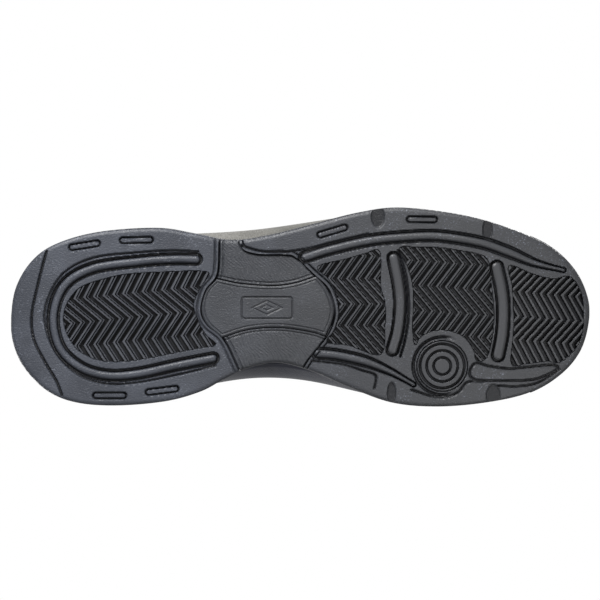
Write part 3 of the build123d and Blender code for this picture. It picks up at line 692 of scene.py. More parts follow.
rear_bar = bar("flex_bar_rear", REAR_BAR, REAR_BAR_HALF, (44, -29), (55, 26))
fixed(rear_bar, "tread", "shoe", "rear_flex_bar")
front_bar = bar("flex_bar_front", FRONT_BAR, FRONT_BAR_HALF, (96, -25), (108, 29))
bends(front_bar, "tread", "front_flex_bar")

disc_plan = Plan((59, 17), (87, 44), 0.22)
ring = np.hypot(disc_plan.x - PIVOT[0], disc_plan.y - PIVOT[1])
rings_cut = [groove(abs(ring - radius), half, 1.9, 0.25)
             for radius, half in ((4.4, 0.6), (8.0, 0.6), (11.4, 0.65))]
height = np.maximum.reduce([*rings_cut, 1.2 * ramp(ring, 12.5, 13.1)])
disc = relief("pivot_rings", disc_plan, 13.0 - ring, height, RECESS_DEPTH, tread_rubber)
bends(disc, "tread", "pivot_disc")


# ------------------------------------------------------------------ midsole, board and insole
# The foam cup's sidewall in one piece from heel to toe, closed above by the lasting board and a
# knit-topped insole that dips under the heel.
FOOTBED = [(-153, 25.5), (-120, 24.5), (-80, 23.5), (-40, 21), (0, 18), (40, 16.2), (75, 16),
           (105, 18), (130, 23), (153, 32)]
FEATHER = [(-153, 33), (-120, 31), (-80, 30.5), (-40, 29), (0, 26), (40, 24), (75, 24),
           (105, 27), (130, 33.5), (153, 41)]
UPPER_HALF = 146.0
# One row for each section of the upper: x, lateral and medial y at the sole, lateral and medial y
# where it is widest, bottom, top, and how full it is at 55 and 85 per cent of its height.
SECTIONS = [
    (-146.0, -5, 15, -5, 15, 34, 74, 0.80, 0.50),
    (-143.8, -13, 23, -13.5, 23.5, 18, 104, 0.88, 0.58),
    (-138.0, -21, 33, -22, 34, 14, 126, 0.88, 0.62),
    (-128.0, -28.5, 40, -29.5, 41.5, 14, 138, 0.85, 0.62),
    (-110.0, -34, 45.5, -35.5, 46, 14, 143, 0.81, 0.60),
    (-85.0, -36, 45.5, -37, 46, 14, 138, 0.81, 0.57),
    (-55.0, -34, 40, -38.5, 42, 13, 123, 0.82, 0.56),
    (-25.0, -32, 28, -40.5, 37.5, 12, 103, 0.83, 0.56),
    (5.0, -38.5, 30, -44.5, 39, 11, 87, 0.84, 0.56),
    (35.0, -45.5, 41, -48.5, 45.5, 10, 73.5, 0.86, 0.57),
    (62.0, -46.5, 47, -49, 49, 10, 64.5, 0.88, 0.59),
    (90.0, -41.5, 45.5, -43, 47, 11, 58, 0.89, 0.60),
    (112.0, -34.5, 41, -35.5, 42, 13, 54.5, 0.90, 0.61),
    (130.0, -25, 32, -25.5, 32.5, 16, 52, 0.90, 0.62),
    (141.0, -14, 21, -14.5, 21.5, 22, 48.5, 0.88, 0.60),
    (146.0, -4, 11, -4, 11, 31, 43, 0.80, 0.50),
]
SECTION_SHARES = (0.0, 0.13, 0.28, 0.42, 0.5, 0.58, 0.72, 0.87, 1.0)
END_DOME = 1.3                  # the heel's and toe's ends are domed this much
ALONG, ACROSS = 300, 221        # points of the upper's grid


def spline(knots, values, at):
    """A natural cubic spline through values at knots, along the first axis."""
    knots, values = np.array(knots, float), np.array(values, float)
    gap = np.diff(knots)
    slope = np.diff(values, axis=0) / gap.reshape(-1, *[1] * (values.ndim - 1))
    size = len(knots)
    system, pull = np.eye(size), np.zeros_like(values)
    for k in range(1, size - 1):
        system[k, k - 1:k + 2] = gap[k - 1], 2 * (gap[k - 1] + gap[k]), gap[k]
        pull[k] = 6 * (slope[k] - slope[k - 1])
    bend = np.linalg.solve(system, pull.reshape(size, -1)).reshape(values.shape)
    at = np.clip(np.asarray(at, float), knots[0], knots[-1])
    k = np.clip(np.searchsorted(knots, at) - 1, 0, size - 2)
    shape = at.shape + (1,) * (values.ndim - 1)
    h, a = gap[k].reshape(shape), (at - knots[k]).reshape(shape)
    b = h - a
    return (bend[k] * b**3 + bend[k + 1] * a**3) / (6 * h) + (
        values[k] / h - bend[k] * h / 6) * b + (values[k + 1] / h - bend[k + 1] * h / 6) * a


def along_line(line, x):
    """A side-view line's height at x."""
    xs, zs = zip(*line)
    return spline(xs, zs, x)


def section(row, depth):
    """The nine points of a section, depth below the outermost surface."""
    x, yl, ym, wl, wm, zb, zt, fuller, crown = row
    yl, wl, ym, wm, zt = yl + depth, wl + depth, ym - depth, wm - depth, zt - depth
    mid, tall = (wl + wm) / 2, zt - zb
    x *= (UPPER_HALF - depth) / UPPER_HALF
    steps = [(yl, 0), (wl, 0.25), (mid + (wl - mid) * fuller, 0.55), (mid + (wl - mid) * crown, 0.85),
             (mid, 1), (mid + (wm - mid) * crown, 0.85), (mid + (wm - mid) * fuller, 0.55),
             (wm, 0.25), (ym, 0)]
    return [(x, y, zb + share * tall) for y, share in steps]


def last_net(depth):
    """The sections of one layer, with a dome at each end that closes on an upright line."""
    net = np.array([section(row, depth) for row in SECTIONS])
    ends = []
    for rim, way in ((net[0], -1), (net[-1], 1)):
        centre = rim.mean(axis=0)
        domes = [centre + (rim - centre) * scale + (way * rise * END_DOME, 0, 0)
                 for scale, rise in ((0.7, 0.6), (0.02, 1.0))]
        lowest = [0, 1, 7, 8]               # these keep their height, so both sides meet low down
        for dome in domes:
            dome[lowest, 2] = rim[lowest, 2]
        ends.append(domes)
    return np.vstack([ends[0][::-1], net, ends[1]])


net = last_net(0)
knots = np.concatenate([[0], np.cumsum(np.linalg.norm(np.diff(net, axis=0), axis=2).mean(axis=1))])
rows_at = np.linspace(0, knots[-1], ALONG)
shares_at = np.linspace(0, 1, ACROSS)


def last_grid(depth):
    """Points of one layer: rows along the shoe, and across each row over the foot."""
    rows = spline(knots, last_net(depth), rows_at)
    return np.swapaxes(spline(SECTION_SHARES, np.swapaxes(rows, 0, 1), shares_at), 0, 1)


skin = last_grid(0.0)                       # the outermost surface of the upper
inward = last_grid(1.0) - skin              # and its step for each millimetre of depth


def shell(name, outer, inner, region, material):
    """A closed solid between two grids of points, where region (its distance from the edge) is
    positive. Points beside the edge are moved onto it. Its UVs follow the outer grid in metres."""
    cells = (region[:-1, :-1] + region[1:, :-1] + region[:-1, 1:] + region[1:, 1:]) / 4 > 0
    used = np.zeros(region.shape, bool)
    full = np.zeros(region.shape, int)
    for i, j in ((0, 0), (1, 0), (1, 1), (0, 1)):
        used[i:used.shape[0] - 1 + i, j:used.shape[1] - 1 + j] |= cells
        full[i:full.shape[0] - 1 + i, j:full.shape[1] - 1 + j] += cells
    across, down = np.gradient(region)
    size = np.maximum(across**2 + down**2, 1e-3)
    shift = np.where(used & (full < 4), -region / size, 0)
    a = np.clip(shift * across, -1, 1)[..., None]
    b = np.clip(shift * down, -1, 1)[..., None]
    sheets = []
    for grid in (outer, inner):
        sheets.append((grid + a * np.gradient(grid, axis=0) + b * np.gradient(grid, axis=1))[used])
    count = int(used.sum())
    index = -np.ones(region.shape, int)
    index[used] = np.arange(count)
    corners = [index[:-1, :-1], index[1:, :-1], index[1:, 1:], index[:-1, 1:]]
    quads = np.stack([corner[cells] for corner in corners], axis=1)
    edges = np.vstack([quads[:, [k, (k + 1) % 4]] for k in range(4)])
    keys = edges.min(axis=1).astype(np.int64) * count + edges.max(axis=1)
    _, first, times = np.unique(keys, return_index=True, return_counts=True)
    rim = edges[first[times == 1]]
    walls = np.stack([rim[:, 1], rim[:, 0], rim[:, 0] + count, rim[:, 1] + count], axis=1)
    faces = np.vstack([quads, quads[:, ::-1] + count, walls])
    mesh = new_mesh(name, np.vstack(sheets), faces.tolist())
    steps_x = np.linalg.norm(np.diff(outer, axis=0, prepend=outer[:1]), axis=2)
    steps_s = np.linalg.norm(np.diff(outer, axis=1, prepend=outer[:, :1]), axis=2)
    middle = outer.shape[1] // 2
    u = np.cumsum(steps_x[:, middle])[:, None] + 0 * steps_s
    v = np.cumsum(steps_s, axis=1)
    v -= v[:, middle:middle + 1]
    places = np.tile(np.stack([u[used], v[used]], axis=1) * MM, (2, 1))
    loops = np.empty(len(mesh.loops), int)
    mesh.loops.foreach_get("vertex_index", loops)
    mesh.uv_layers.new(name="UVMap").data.foreach_set("uv", places[loops].ravel())
    outward(mesh, 50, weld=1e-6)
    return link(name, mesh, material)


def foot_loop(depth, rise):
    """The outline of one layer of the upper in plan, rise above the footbed."""
    grid = skin + depth * inward
    above = grid[..., 2] - along_line(FOOTBED, grid[..., 0]) - rise
    sides = ([], [])
    for row, high in zip(grid, above):
        crossing = np.nonzero((high[:-1] < 0) != (high[1:] < 0))[0]
        if len(crossing) < 2:
            continue
        for side, j in zip(sides, (crossing[0], crossing[-1])):
            share = high[j] / (high[j] - high[j + 1])
            side.append(row[j, :2] * (1 - share) + row[j + 1, :2] * share)
    return np.array(sides[0] + sides[1][::-1])


foam_wall = Finish("foam_sidewall", Roughness=0.62, Specular_IOR_Level=0.35)
cloud = foam_wall.noise(60.0, 3.0)
foam_wall.coat(cloud, (0.016, 0.018, 0.024), (0.026, 0.028, 0.036), foam_wall.noise(700.0, 4.0), 0.0002)
toe_grain = Finish("toe_bumper_rubber", Roughness=0.45)
toe_grain.coat(toe_grain.noise(80.0), (0.022, 0.024, 0.03), (0.034, 0.037, 0.045),
               toe_grain.cells(1100.0), 0.00035)

wall_loop = curve(SOLE_LINE, closed=True, step=1.4)[:-1]
tangent = np.roll(wall_loop, -1, axis=0) - np.roll(wall_loop, 1, axis=0)
tangent /= np.linalg.norm(tangent, axis=1)[:, None]
inner_way = np.stack([-tangent[:, 1], tangent[:, 0]], axis=1)
wall_low = OUTSOLE_THICKNESS - 0.1 + lift(wall_loop[:, 0])
wall_high = along_line(FEATHER, wall_loop[:, 0])
upper_edge = foot_loop(2.4, 6.5)


def signed(x, y, loop, reach=1e9):
    """Distance in from a closed line's edge at any points, negative outside."""
    best = np.full(np.shape(x), reach)
    inside = np.zeros(np.shape(x), bool)
    for p, q in zip(loop, np.roll(loop, -1, axis=0)):
        run = q - p
        t = np.clip(((x - p[0]) * run[0] + (y - p[1]) * run[1]) / max(run @ run, 1e-9), 0, 1)
        best = np.minimum(best, np.hypot(x - p[0] - t * run[0], y - p[1] - t * run[1]))
        if p[0] != q[0]:
            spans = (x >= min(p[0], q[0])) & (x < max(p[0], q[0]))
            inside ^= spans & (y > p[1] + (x - p[0]) * run[1] / run[0])
    return np.where(inside, best, -best)


steps = np.arange(0.5, 16, 0.5)
march = wall_loop[:, None] + inner_way[:, None] * steps[None, :, None]
covered = signed(march[..., 0], march[..., 1], upper_edge[::4]) > 0
tuck = np.where(covered.any(axis=1), steps[covered.argmax(axis=1)], 3.0)
tuck = np.convolve(np.concatenate([tuck[-4:], tuck, tuck[:4]]), np.ones(9) / 9, "valid")


def bumper_room(share):
    """How far the sidewall steps in for the toe bumper, share of the way up it."""
    return 2.3 * ramp(wall_loop[:, 0], 117.0 + 4 * share, 118.5 + 4 * share)


WALL = [(3.5, 0), (0.9, 0), (0.2, 0.05), (0.0, 0.2), (0.15, 0.34), (0.15, 0.4), (0.0, 0.5),
        (0.0, 0.75), (0.3, 0.92), (1.0, 1.0)]
rings = []
for depth, share in WALL:
    inset = np.minimum(depth + bumper_room(share) * (depth < 3), np.maximum(tuck - 0.2, depth * 0.4))
    rings.append(np.column_stack([wall_loop + inner_way * inset[:, None],
                                  wall_low + share * (wall_high - wall_low)]))
for level in (wall_high - 0.3, along_line(FOOTBED, wall_loop[:, 0]) - 2.0):
    rings.append(np.column_stack([wall_loop + inner_way * tuck[:, None], level]))
count = len(wall_loop)
mesh = new_mesh("midsole_cup", np.vstack(rings), ring_faces(len(rings), count))
solid = bmesh.new()
solid.from_mesh(mesh)
open_edges = [edge for edge in solid.edges if edge.is_boundary]
for level in (0, len(rings) - 1):
    ring_edges = [e for e in open_edges if all(v.index // count == level for v in e.verts)]
    bmesh.ops.triangle_fill(solid, use_beauty=True, use_dissolve=False, edges=ring_edges)
solid.to_mesh(mesh)
solid.free()
outward(mesh, 45)
cup = link("midsole_cup", mesh, foam_wall.material)
bends(cup, "midsole", "midsole_rear", "midsole_flex", "midsole_front")

toe_run = np.nonzero(wall_loop[:, 0] > 112)[0]
levels = np.linspace(0, 1, 17)
bump_out = 0.35 * np.sin(np.pi * levels) ** 0.5


def toe_strip(inset):
    """A strip up the sidewall round the toe, inset from it at each level."""
    return np.array([np.column_stack([wall_loop[i] + inner_way[i] * inset[:, None],
                                      wall_low[i] + levels * (wall_high[i] + 0.6 - wall_low[i])])
                     for i in toe_run])


outer = toe_strip(-bump_out)
bumper = shell("toe_bumper_strip", outer, toe_strip(0 * levels + 2.2),
               outer[..., 0] - 118.6 - 4 * levels[None, :], toe_grain.material)
fixed(bumper, "toe_rubber", "forefoot", "toe_bumper")

board_finish = Finish("woven_board", Roughness=0.8)
warp, weft = (board_finish.add("ShaderNodeTexWave", {"bands_direction": way},
                               Vector=board_finish.place, Scale=260.0, Distortion=0.6)
              for way in "XY")
weave = (warp + weft) * 0.5
board_finish.coat(weave, (0.45, 0.42, 0.36), (0.62, 0.58, 0.5), weave, 0.0003)


def footbed_pad(name, loop, spacing, low, high, material, inside_sole=False):
    """A pad in plan that follows the footbed: low and high are its faces above it."""
    plan = Plan(loop.min(axis=0) - 2, loop.max(axis=0) + 2, spacing)
    inner_dist = plan.depth_in(loop, 12.0)
    if inside_sole:
        inner_dist = np.minimum(inner_dist, plan.depth_in(sole_loop, 12.0) - 2.0)
    bed = along_line(FOOTBED, plan.x)
    bottom = np.stack([plan.x, plan.y, bed + low], axis=2)
    top = np.stack([plan.x, plan.y, bed + high(plan, inner_dist)], axis=2)
    return shell(name, top, bottom, inner_dist, material)


board = footbed_pad("lasting_board", foot_loop(2.2, 0.4), 1.5, -1.8, lambda plan, d: -0.05 + 0 * d,
                    board_finish.material, inside_sole=True)
bends(board, "board", "lasting_board_rear", "lasting_board_flex", "lasting_board_front")


def insole_top(plan, d):
    """Rounded edges, a raised arch and rim, and a shallow cup under the heel."""
    edge = 1.6 * (1 - np.sqrt(1 - np.clip(1 - d / 2.5, 0, 1) ** 2))
    cup_dist = np.hypot((plan.x + 98) / 34, (plan.y - 5) / 24)
    dish = 1.2 * (1 - ramp(cup_dist, 0.3, 1.1))
    rim_rise = 1.5 * (1 - ramp(d, 3, 11)) * (1 - ramp(plan.x, 20, 60))
    quilting = 0.12 * np.sin(plan.x * 1.1) * np.sin(plan.y * 1.1)
    return 4.5 - edge - dish + rim_rise + quilting * ramp(d, 2, 5)


knit = Finish("insole_knit", Roughness=0.85, Sheen_Weight=0.35)
stripe = knit.add("ShaderNodeTexWave", {"bands_direction": "DIAGONAL"}, Vector=knit.place, Scale=420.0,
                  Distortion=0.4)
knit.coat(stripe, (0.012, 0.014, 0.022), (0.035, 0.04, 0.058), stripe, 0.0002)
insole = footbed_pad("insole", foot_loop(5.5, 2.0), 0.9, 0.1, insole_top, knit.material)
bends(insole, "insole", "insole_rear", "insole_flex", "insole_front")


# ------------------------------------------------------------------ upper: cut lines and finishes
# The upper's panels are cut from the last's layers by lines in side view and the throat in plan.
# Depths are millimetres below the outermost surface.
TOPLINE = [(-160, 99), (-142, 98.5), (-131, 93), (-115, 82), (-96, 76), (-78, 77), (-61, 85),
           (-48, 97), (-38.5, 108), (-37, 150), (-37, 200), (-160, 200)]
THROAT = [(-75, -19), (-38, -18), (0, -14), (24, -11.5), (34, -6), (37, 0.5), (34, 7), (24, 12),
          (0, 14), (-38, 17.5), (-75, 19)]
MUDGUARD = [(-170, -20), (-170, 86), (-128, 78), (-118, 62), (-100, 52), (-80, 60), (-50, 62),
            (-20, 52), (20, 46), (57, 44), (80, 44), (100, 52), (112, 80), (170, 80), (170, -20)]
QUARTER = [(-170, -20), (-12, -20), (-8, 15), (10, 45), (26, 70), (32, 200), (-170, 200)]
FACING = [(60, 0), (-52, 60), (-46, 200), (60, 200)]
FACING_WIDTH = 13.0
HEEL_SEAM_Y = 5.0
HEEL_OVERLAY_FRONT = -100.0


def rounded(points):
    """A closed line through corner points, with its corners cut round."""
    points = np.array(points, float)
    for _ in range(3):
        after = np.roll(points, -1, axis=0)
        points = np.stack([points * 0.75 + after * 0.25, points * 0.25 + after * 0.75], axis=1)
        points = points.reshape(-1, 2)
    return points


def in_surface(field):
    """A field's value as distance along the upper's surface from where it is zero."""
    along = np.linalg.norm(np.gradient(skin, axis=0), axis=2)
    down = np.linalg.norm(np.gradient(skin, axis=1), axis=2)
    change = np.hypot(np.gradient(field, axis=0) / np.maximum(along, 0.05),
                      np.gradient(field, axis=1) / np.maximum(down, 0.05))
    return field / np.clip(change, 0.35, 2.0)


sx, sy, sz = skin[..., 0], skin[..., 1], skin[..., 2]
above_bed = sz - along_line(FOOTBED, sx) + 2.0
topline_loop = np.array(TOPLINE, float)
topline_loop = np.vstack([curve(TOPLINE[:9]), topline_loop[9:]])
below_top = in_surface(-signed(sx, sz, topline_loop))
throat_loop = curve(THROAT, closed=True, step=2.0)
throat_away = -signed(sx, sy, throat_loop)
clear_throat = in_surface(np.where(sz > 50, throat_away, 20.0))
low_zone = in_surface(signed(sx, sz, rounded(MUDGUARD)))
quarter_zone = in_surface(signed(sx, sz, rounded(QUARTER)))
facing_zone = in_surface(np.minimum(FACING_WIDTH - throat_away, signed(sx, sz, np.array(FACING, float))))
lateral = HEEL_SEAM_Y - sy
whole = np.minimum.reduce([above_bed, below_top, clear_throat])


def layer(name, region, outside, inside, material, edge=0.9, every=1):
    """A panel of the upper between two depths, with its cut edge rounded over."""
    rolled = np.clip(1 - region / edge, 0, 1)
    dip = (inside - outside) * 0.7 * (1 - np.sqrt(1 - rolled**2))
    outer = skin + (outside + dip)[..., None] * inward
    inner = skin + inside * inward
    step = slice(None, None, every)
    return shell(name, outer[step, step], inner[step, step], region[step, step] / every, material)


def leather(name, dark, light, gloss, speckle=0.0):
    """Coated synthetic leather: fine pebble grain, soft creases and a clear gloss."""
    finish = Finish(name, Roughness=0.34, Coat_Roughness=0.18)
    cloud = finish.noise(35.0, 4.0)
    base = finish.blend(cloud.clamped(0.3, 0.7), dark, light)
    if speckle:
        fleck = finish.noise(1700.0, 2.0).clamped(0.5, 0.62)
        base = finish.blend(fleck * speckle, base, tuple(c * 0.35 for c in light))
    finish.set("Base Color", base)
    finish.set("Roughness", 0.3 + cloud * 0.25)
    finish.set("Coat Weight", cloud * 0.2 + gloss)
    grain = finish.cells(1250.0)
    creases = finish.noise(150.0, 5.0)
    finish.bump(grain * 0.45 + creases * 0.9, 0.00035)
    return finish.material


def net_fabric(name, ground, thread, pitch):
    """Open spacer mesh: offset rows of small holes in a knitted ground, laid out by the UVs."""
    finish = Finish(name, Roughness=0.8, Sheen_Weight=0.25)
    uv = finish.add("ShaderNodeTexCoord", {}).out("UV")
    parts = finish.add("ShaderNodeSeparateXYZ", {}, uv)
    turn = 2 * math.pi / pitch
    across, down = parts.out("X") * turn, parts.out("Y") * (turn * 0.577)
    ripple = (across + down).sine() * (across - down).sine()
    hole = ripple.clamped(0.25, 0.6)
    finish.set("Base Color", finish.blend(hole, thread, ground))
    knitted = finish.noise(2600.0, 2.0)
    finish.set("Roughness", 0.9 - knitted * 0.25)
    finish.bump((1.0 - hole) * 0.8 + knitted * 0.25, 0.0004)
    return finish.material


navy = leather("navy_leather", (0.0045, 0.006, 0.014), (0.008, 0.011, 0.026), 0.55)
grey = leather("speckled_grey_leather", (0.10, 0.099, 0.09), (0.165, 0.16, 0.145), 0.05, 0.8)
quarter_leather = leather("quarter_leather", (0.008, 0.010, 0.019), (0.014, 0.018, 0.034), 0.3)
mesh_cloth = net_fabric("spacer_mesh", (0.002, 0.002, 0.003), (0.022, 0.025, 0.034), 0.0026)


# ------------------------------------------------------------------ lining, stiffeners and vamp
# A brushed knit lining inside, with a moulded heel counter and toe puff between it and the shell;
# the mesh vamp lies over the toes.
brushed = Finish("brushed_lining", Roughness=0.9, Sheen_Weight=0.5)
nap = brushed.noise(1300.0, 4.0)
brushed.coat(nap, (0.008, 0.009, 0.013), (0.024, 0.027, 0.036), nap, 0.0002)
lining = layer("lining_sleeve", np.minimum(whole, clear_throat - 0.4), 3.9, 5.0, brushed.material, 0.5, 2)
bends(lining, "lining", "lining_rear", "lining_flex", "lining_front")

moulded = Finish("moulded_stiffener", Roughness=0.7)
moulded.coat(moulded.noise(90.0, 3.0), (0.42, 0.41, 0.39), (0.55, 0.54, 0.52), moulded.noise(800.0), 0.0001)
soft_foam = Finish("soft_foam", Roughness=0.9)
bubbles = soft_foam.cells(900.0)
soft_foam.coat(bubbles, (0.2, 0.2, 0.21), (0.34, 0.34, 0.35), bubbles, 0.0004)
COUNTER = [(-170, -20), (-84, -20), (-88, 45), (-110, 64), (-126, 76), (-170, 82)]
counter_zone = np.minimum(whole, in_surface(signed(sx, sz, rounded(COUNTER))))
puff_zone = np.minimum(whole, sx - 109 - sz * 0.03)
for name, zone, node, body in (("heel_counter_cup", counter_zone, "heel_counter", "shoe"),
                               ("toe_puff_cup", puff_zone, "toe_puff", "forefoot")):
    fixed(layer(name, zone, 2.7, 3.8, moulded.material, 0.8, 2), "counter", body, node)
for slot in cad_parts["heel_cushion"].material_slots:
    slot.material = soft_foam.material

vamp = layer("vamp_mesh", np.minimum(whole, 0.6 - quarter_zone), 1.2, 2.6, mesh_cloth)
bends(vamp, "mesh", "vamp_rear", "vamp_flex", "vamp_front")


# ------------------------------------------------------------------ quarters and padded collar
# Leather side panels, and under them a collar of foam rolled over the topline.
for name, side in (("lateral", 1), ("medial", -1)):
    cut = np.minimum.reduce([whole, quarter_zone, side * lateral])
    quarter = layer(name + "_quarter_panel", cut, 0.9, 2.5, quarter_leather)
    fixed(quarter, "quarter", "shoe", name + "_quarter")

COLLAR_DEEP, COLLAR_PROUD, COLLAR_THICK = 26.0, 0.6, 7.6
roll = np.clip(below_top / COLLAR_DEEP, 0, 1)
crown = np.sqrt(np.clip(1 - (1 - np.clip(below_top / 4.0, 0, 1)) ** 2, 0, 1))
swell = np.sin(np.pi * np.clip(roll, 0, 1)) ** 0.6
collar_zone = np.minimum.reduce([below_top, COLLAR_DEEP - below_top, quarter_zone - 1, clear_throat - 1.0])
ends_soft = ramp(collar_zone, 0, 4)
proud = 2.6 - (2.6 + COLLAR_PROUD) * crown * (1 - ramp(below_top, 4.5, 6.5)) * ends_soft
thick = 3.0 + (COLLAR_THICK - 3.0) * crown * swell * ends_soft
collar = shell("collar_roll", skin + proud[..., None] * inward, skin + thick[..., None] * inward,
               collar_zone, mesh_cloth)
fixed(collar, "foam", "shoe", "collar_padding")


# ------------------------------------------------------------------ overlays and eyestays
# Glossy panels stitched over the shell: a heel piece, a grey lateral and a navy medial side
# piece, a toe guard across the ball, and the facings that carry the eyelets.
heel_piece = np.minimum.reduce([whole, low_zone, HEEL_OVERLAY_FRONT - sx + 1])
toe_seam = sx - 38 - 0.5 * (sz - 20)
side_piece = np.minimum.reduce([whole, low_zone, sx - HEEL_OVERLAY_FRONT, 1.5 - toe_seam])
toe_piece = np.minimum.reduce([whole, low_zone, toe_seam])
panels = (("heel_guard", heel_piece, -0.2, navy, "overlay_navy", "heel_overlay"),
          ("lateral_side_panel", np.minimum(side_piece, lateral), 0.0, grey, "overlay_grey",
           "lateral_side_overlay"),
          ("medial_side_panel", np.minimum(side_piece, -lateral), 0.0, navy, "overlay_navy",
           "medial_side_overlay"))
for name, cut, outside, finish, slot, node in panels:
    fixed(layer(name, cut, outside, 1.2, finish), slot, "shoe", node)
toe_guard = layer("toe_guard", toe_piece, -0.2, 1.2, navy)
bends(toe_guard, "overlay_navy", "mudguard_flex", "toe_cap")
facing = np.minimum.reduce([whole, facing_zone, 0.8 - low_zone])
for name, side in (("lateral", 1), ("medial", -1)):
    piece = layer(name + "_facing", np.minimum(facing, side * lateral), -0.1, 1.2, navy)
    fixed(piece, "overlay_navy", "shoe", name + "_eyestay")


# ------------------------------------------------------------------ tongue
# One padded tongue in spacer mesh with a rounded edge and long channels. It lies under the lace,
# and its top is laid flatter than the last under it.
TONGUE_PLAN = [(46, -16), (0, -21), (-40, -25), (-60, -23), (-68, -11), (-70, 1), (-68, 13),
               (-60, 25), (-40, 27), (0, 22), (46, 17), (49, 0)]
TONGUE_SIDE = [(60, 40), (-80, 84), (-80, 200), (60, 200)]
TONGUE_OUT, TONGUE_IN = 10.0, 15.5
pad = skin + TONGUE_OUT * inward
pad_zone = np.minimum(signed(pad[..., 0], pad[..., 1], curve(TONGUE_PLAN, closed=True, step=2.0)),
                      signed(pad[..., 0], pad[..., 2], np.array(TONGUE_SIDE, float)))
puffed = np.sqrt(np.clip(1 - (1 - np.clip(pad_zone / 5.0, 0, 1)) ** 2, 0, 1))
middle_depth = (TONGUE_OUT + TONGUE_IN) / 2
channels = 0.45 * np.cos(2 * np.pi * sy / 9.0) * ramp(pad_zone, 2, 6) * ramp(-sx, 38, 50)
top = middle_depth - (middle_depth - TONGUE_OUT) * (0.15 + 0.85 * puffed) + np.clip(channels, 0, 1)
under = middle_depth + (TONGUE_IN - middle_depth) * (0.15 + 0.85 * puffed)
crest = pad[..., 2].max(axis=1)[:, None]
flatten = 0.68 * ramp(-pad[..., 0], 42, 66)


def laid_flatter(grid):
    """The tongue's top, less arched than the last under it."""
    grid = grid.copy()
    grid[..., 2] += flatten * (crest - pad[..., 2])
    return grid


tongue = shell("tongue_pad", laid_flatter(skin + top[..., None] * inward),
               laid_flatter(skin + under[..., None] * inward), pad_zone, mesh_cloth)
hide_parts("tongue", "tongue_top")
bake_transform(tongue)


# ------------------------------------------------------------------ eyelets, lace and keeper
# Rolled eyelets in six rows, a flat woven lace that crosses straight from each to its partner
# and runs under the facing to the next row, and a webbing keeper on the tongue.
EYELET_ROWS, EYELET_FRONT, EYELET_STEP = 6, 26.0, 12.0
LACE_UNDER, LACE_OVER, LACE_EDGE_SHARE = 6.4, 3.0, 0.64
LACE_WIDTH, LACE_THICK = 6.2, 1.3


def on_top(x, y, depth=0.0):
    """The point of a layer over a place in plan, and the outward normal there."""
    grid = skin + depth * inward
    gap = (grid[..., 0] - x) ** 2 + (grid[..., 1] - y) ** 2 + np.where(grid[..., 2] < 45, 1e6, 0)
    i, j = np.unravel_index(gap.argmin(), gap.shape)
    along = (grid[i + 1, j] - grid[i - 1, j]) / 2
    down = (grid[i, j + 1] - grid[i, j - 1]) / 2
    a, b = np.linalg.solve(np.array([along[:2], down[:2]]).T, np.array([x, y]) - grid[i, j, :2])
    normal = np.cross(along, down)
    normal /= np.linalg.norm(normal)
    return grid[i, j] + a * along + b * down, normal if normal[2] > 0 else -normal


def repeat(name, points, normals, tangents, shape, material):
    """Copies of a small shape at points, its Z on the normals and its X on the tangents."""
    tree = bpy.data.node_groups.new(name, "GeometryNodeTree")
    tree.is_modifier = True
    tree.interface.new_socket("Geometry", in_out="INPUT", socket_type="NodeSocketGeometry")
    tree.interface.new_socket("Shape", in_out="INPUT", socket_type="NodeSocketObject")
    tree.interface.new_socket("Material", in_out="INPUT", socket_type="NodeSocketMaterial")
    seed = tree.interface.new_socket("Seed", in_out="INPUT", socket_type="NodeSocketInt")
    seed.default_value = 7
    tree.interface.new_socket("Geometry", in_out="OUTPUT", socket_type="NodeSocketGeometry")
    nodes, links = tree.nodes, tree.links
    source, result = nodes.new("NodeGroupInput"), nodes.new("NodeGroupOutput")
    turned = None
    for attribute, axis in (("normal_way", "Z"), ("tangent_way", "X")):
        read = nodes.new("GeometryNodeInputNamedAttribute")
        read.data_type = "FLOAT_VECTOR"
        read.inputs["Name"].default_value = attribute
        align = nodes.new("FunctionNodeAlignRotationToVector")
        align.axis = axis
        align.pivot_axis = "AUTO" if axis == "Z" else "Z"
        links.new(read.outputs["Attribute"], align.inputs["Vector"])
        if turned:
            links.new(turned, align.inputs["Rotation"])
        turned = align.outputs["Rotation"]
    size = nodes.new("FunctionNodeRandomValue")
    size.data_type = "FLOAT"
    size.inputs[2].default_value, size.inputs[3].default_value = 0.94, 1.06
    links.new(source.outputs["Seed"], size.inputs["Seed"])
    info = nodes.new("GeometryNodeObjectInfo")
    links.new(source.outputs["Shape"], info.inputs["Object"])
    copies = nodes.new("GeometryNodeInstanceOnPoints")
    links.new(source.outputs["Geometry"], copies.inputs["Points"])
    links.new(info.outputs["Geometry"], copies.inputs["Instance"])
    links.new(turned, copies.inputs["Rotation"])
    links.new(size.outputs[1], copies.inputs["Scale"])
    real = nodes.new("GeometryNodeRealizeInstances")
    paint = nodes.new("GeometryNodeSetMaterial")
    links.new(copies.outputs["Instances"], real.inputs["Geometry"])
    links.new(real.outputs["Geometry"], paint.inputs["Geometry"])
    links.new(source.outputs["Material"], paint.inputs["Material"])
    links.new(paint.outputs["Geometry"], result.inputs["Geometry"])

    cloud = new_mesh(name + "_points", points, [])
    for attribute, values in (("normal_way", normals), ("tangent_way", tangents)):
        layer_data = cloud.attributes.new(attribute, "FLOAT_VECTOR", "POINT")
        layer_data.data.foreach_set("vector", np.array(values, float).ravel())
    carrier = link(name + "_points", cloud)
    grower = carrier.modifiers.new("repeat", "NODES")
    grower.node_group = tree
    sockets = {item.name: item.identifier for item in tree.interface.items_tree
               if item.in_out == "INPUT"}
    grower[sockets["Shape"]] = shape
    grower[sockets["Material"]] = material
    grower[sockets["Seed"]] = 7
    grown = bpy.data.meshes.new_from_object(carrier.evaluated_get(bpy.context.evaluated_depsgraph_get()))
    bpy.data.objects.remove(carrier)
    return link(name, grown)


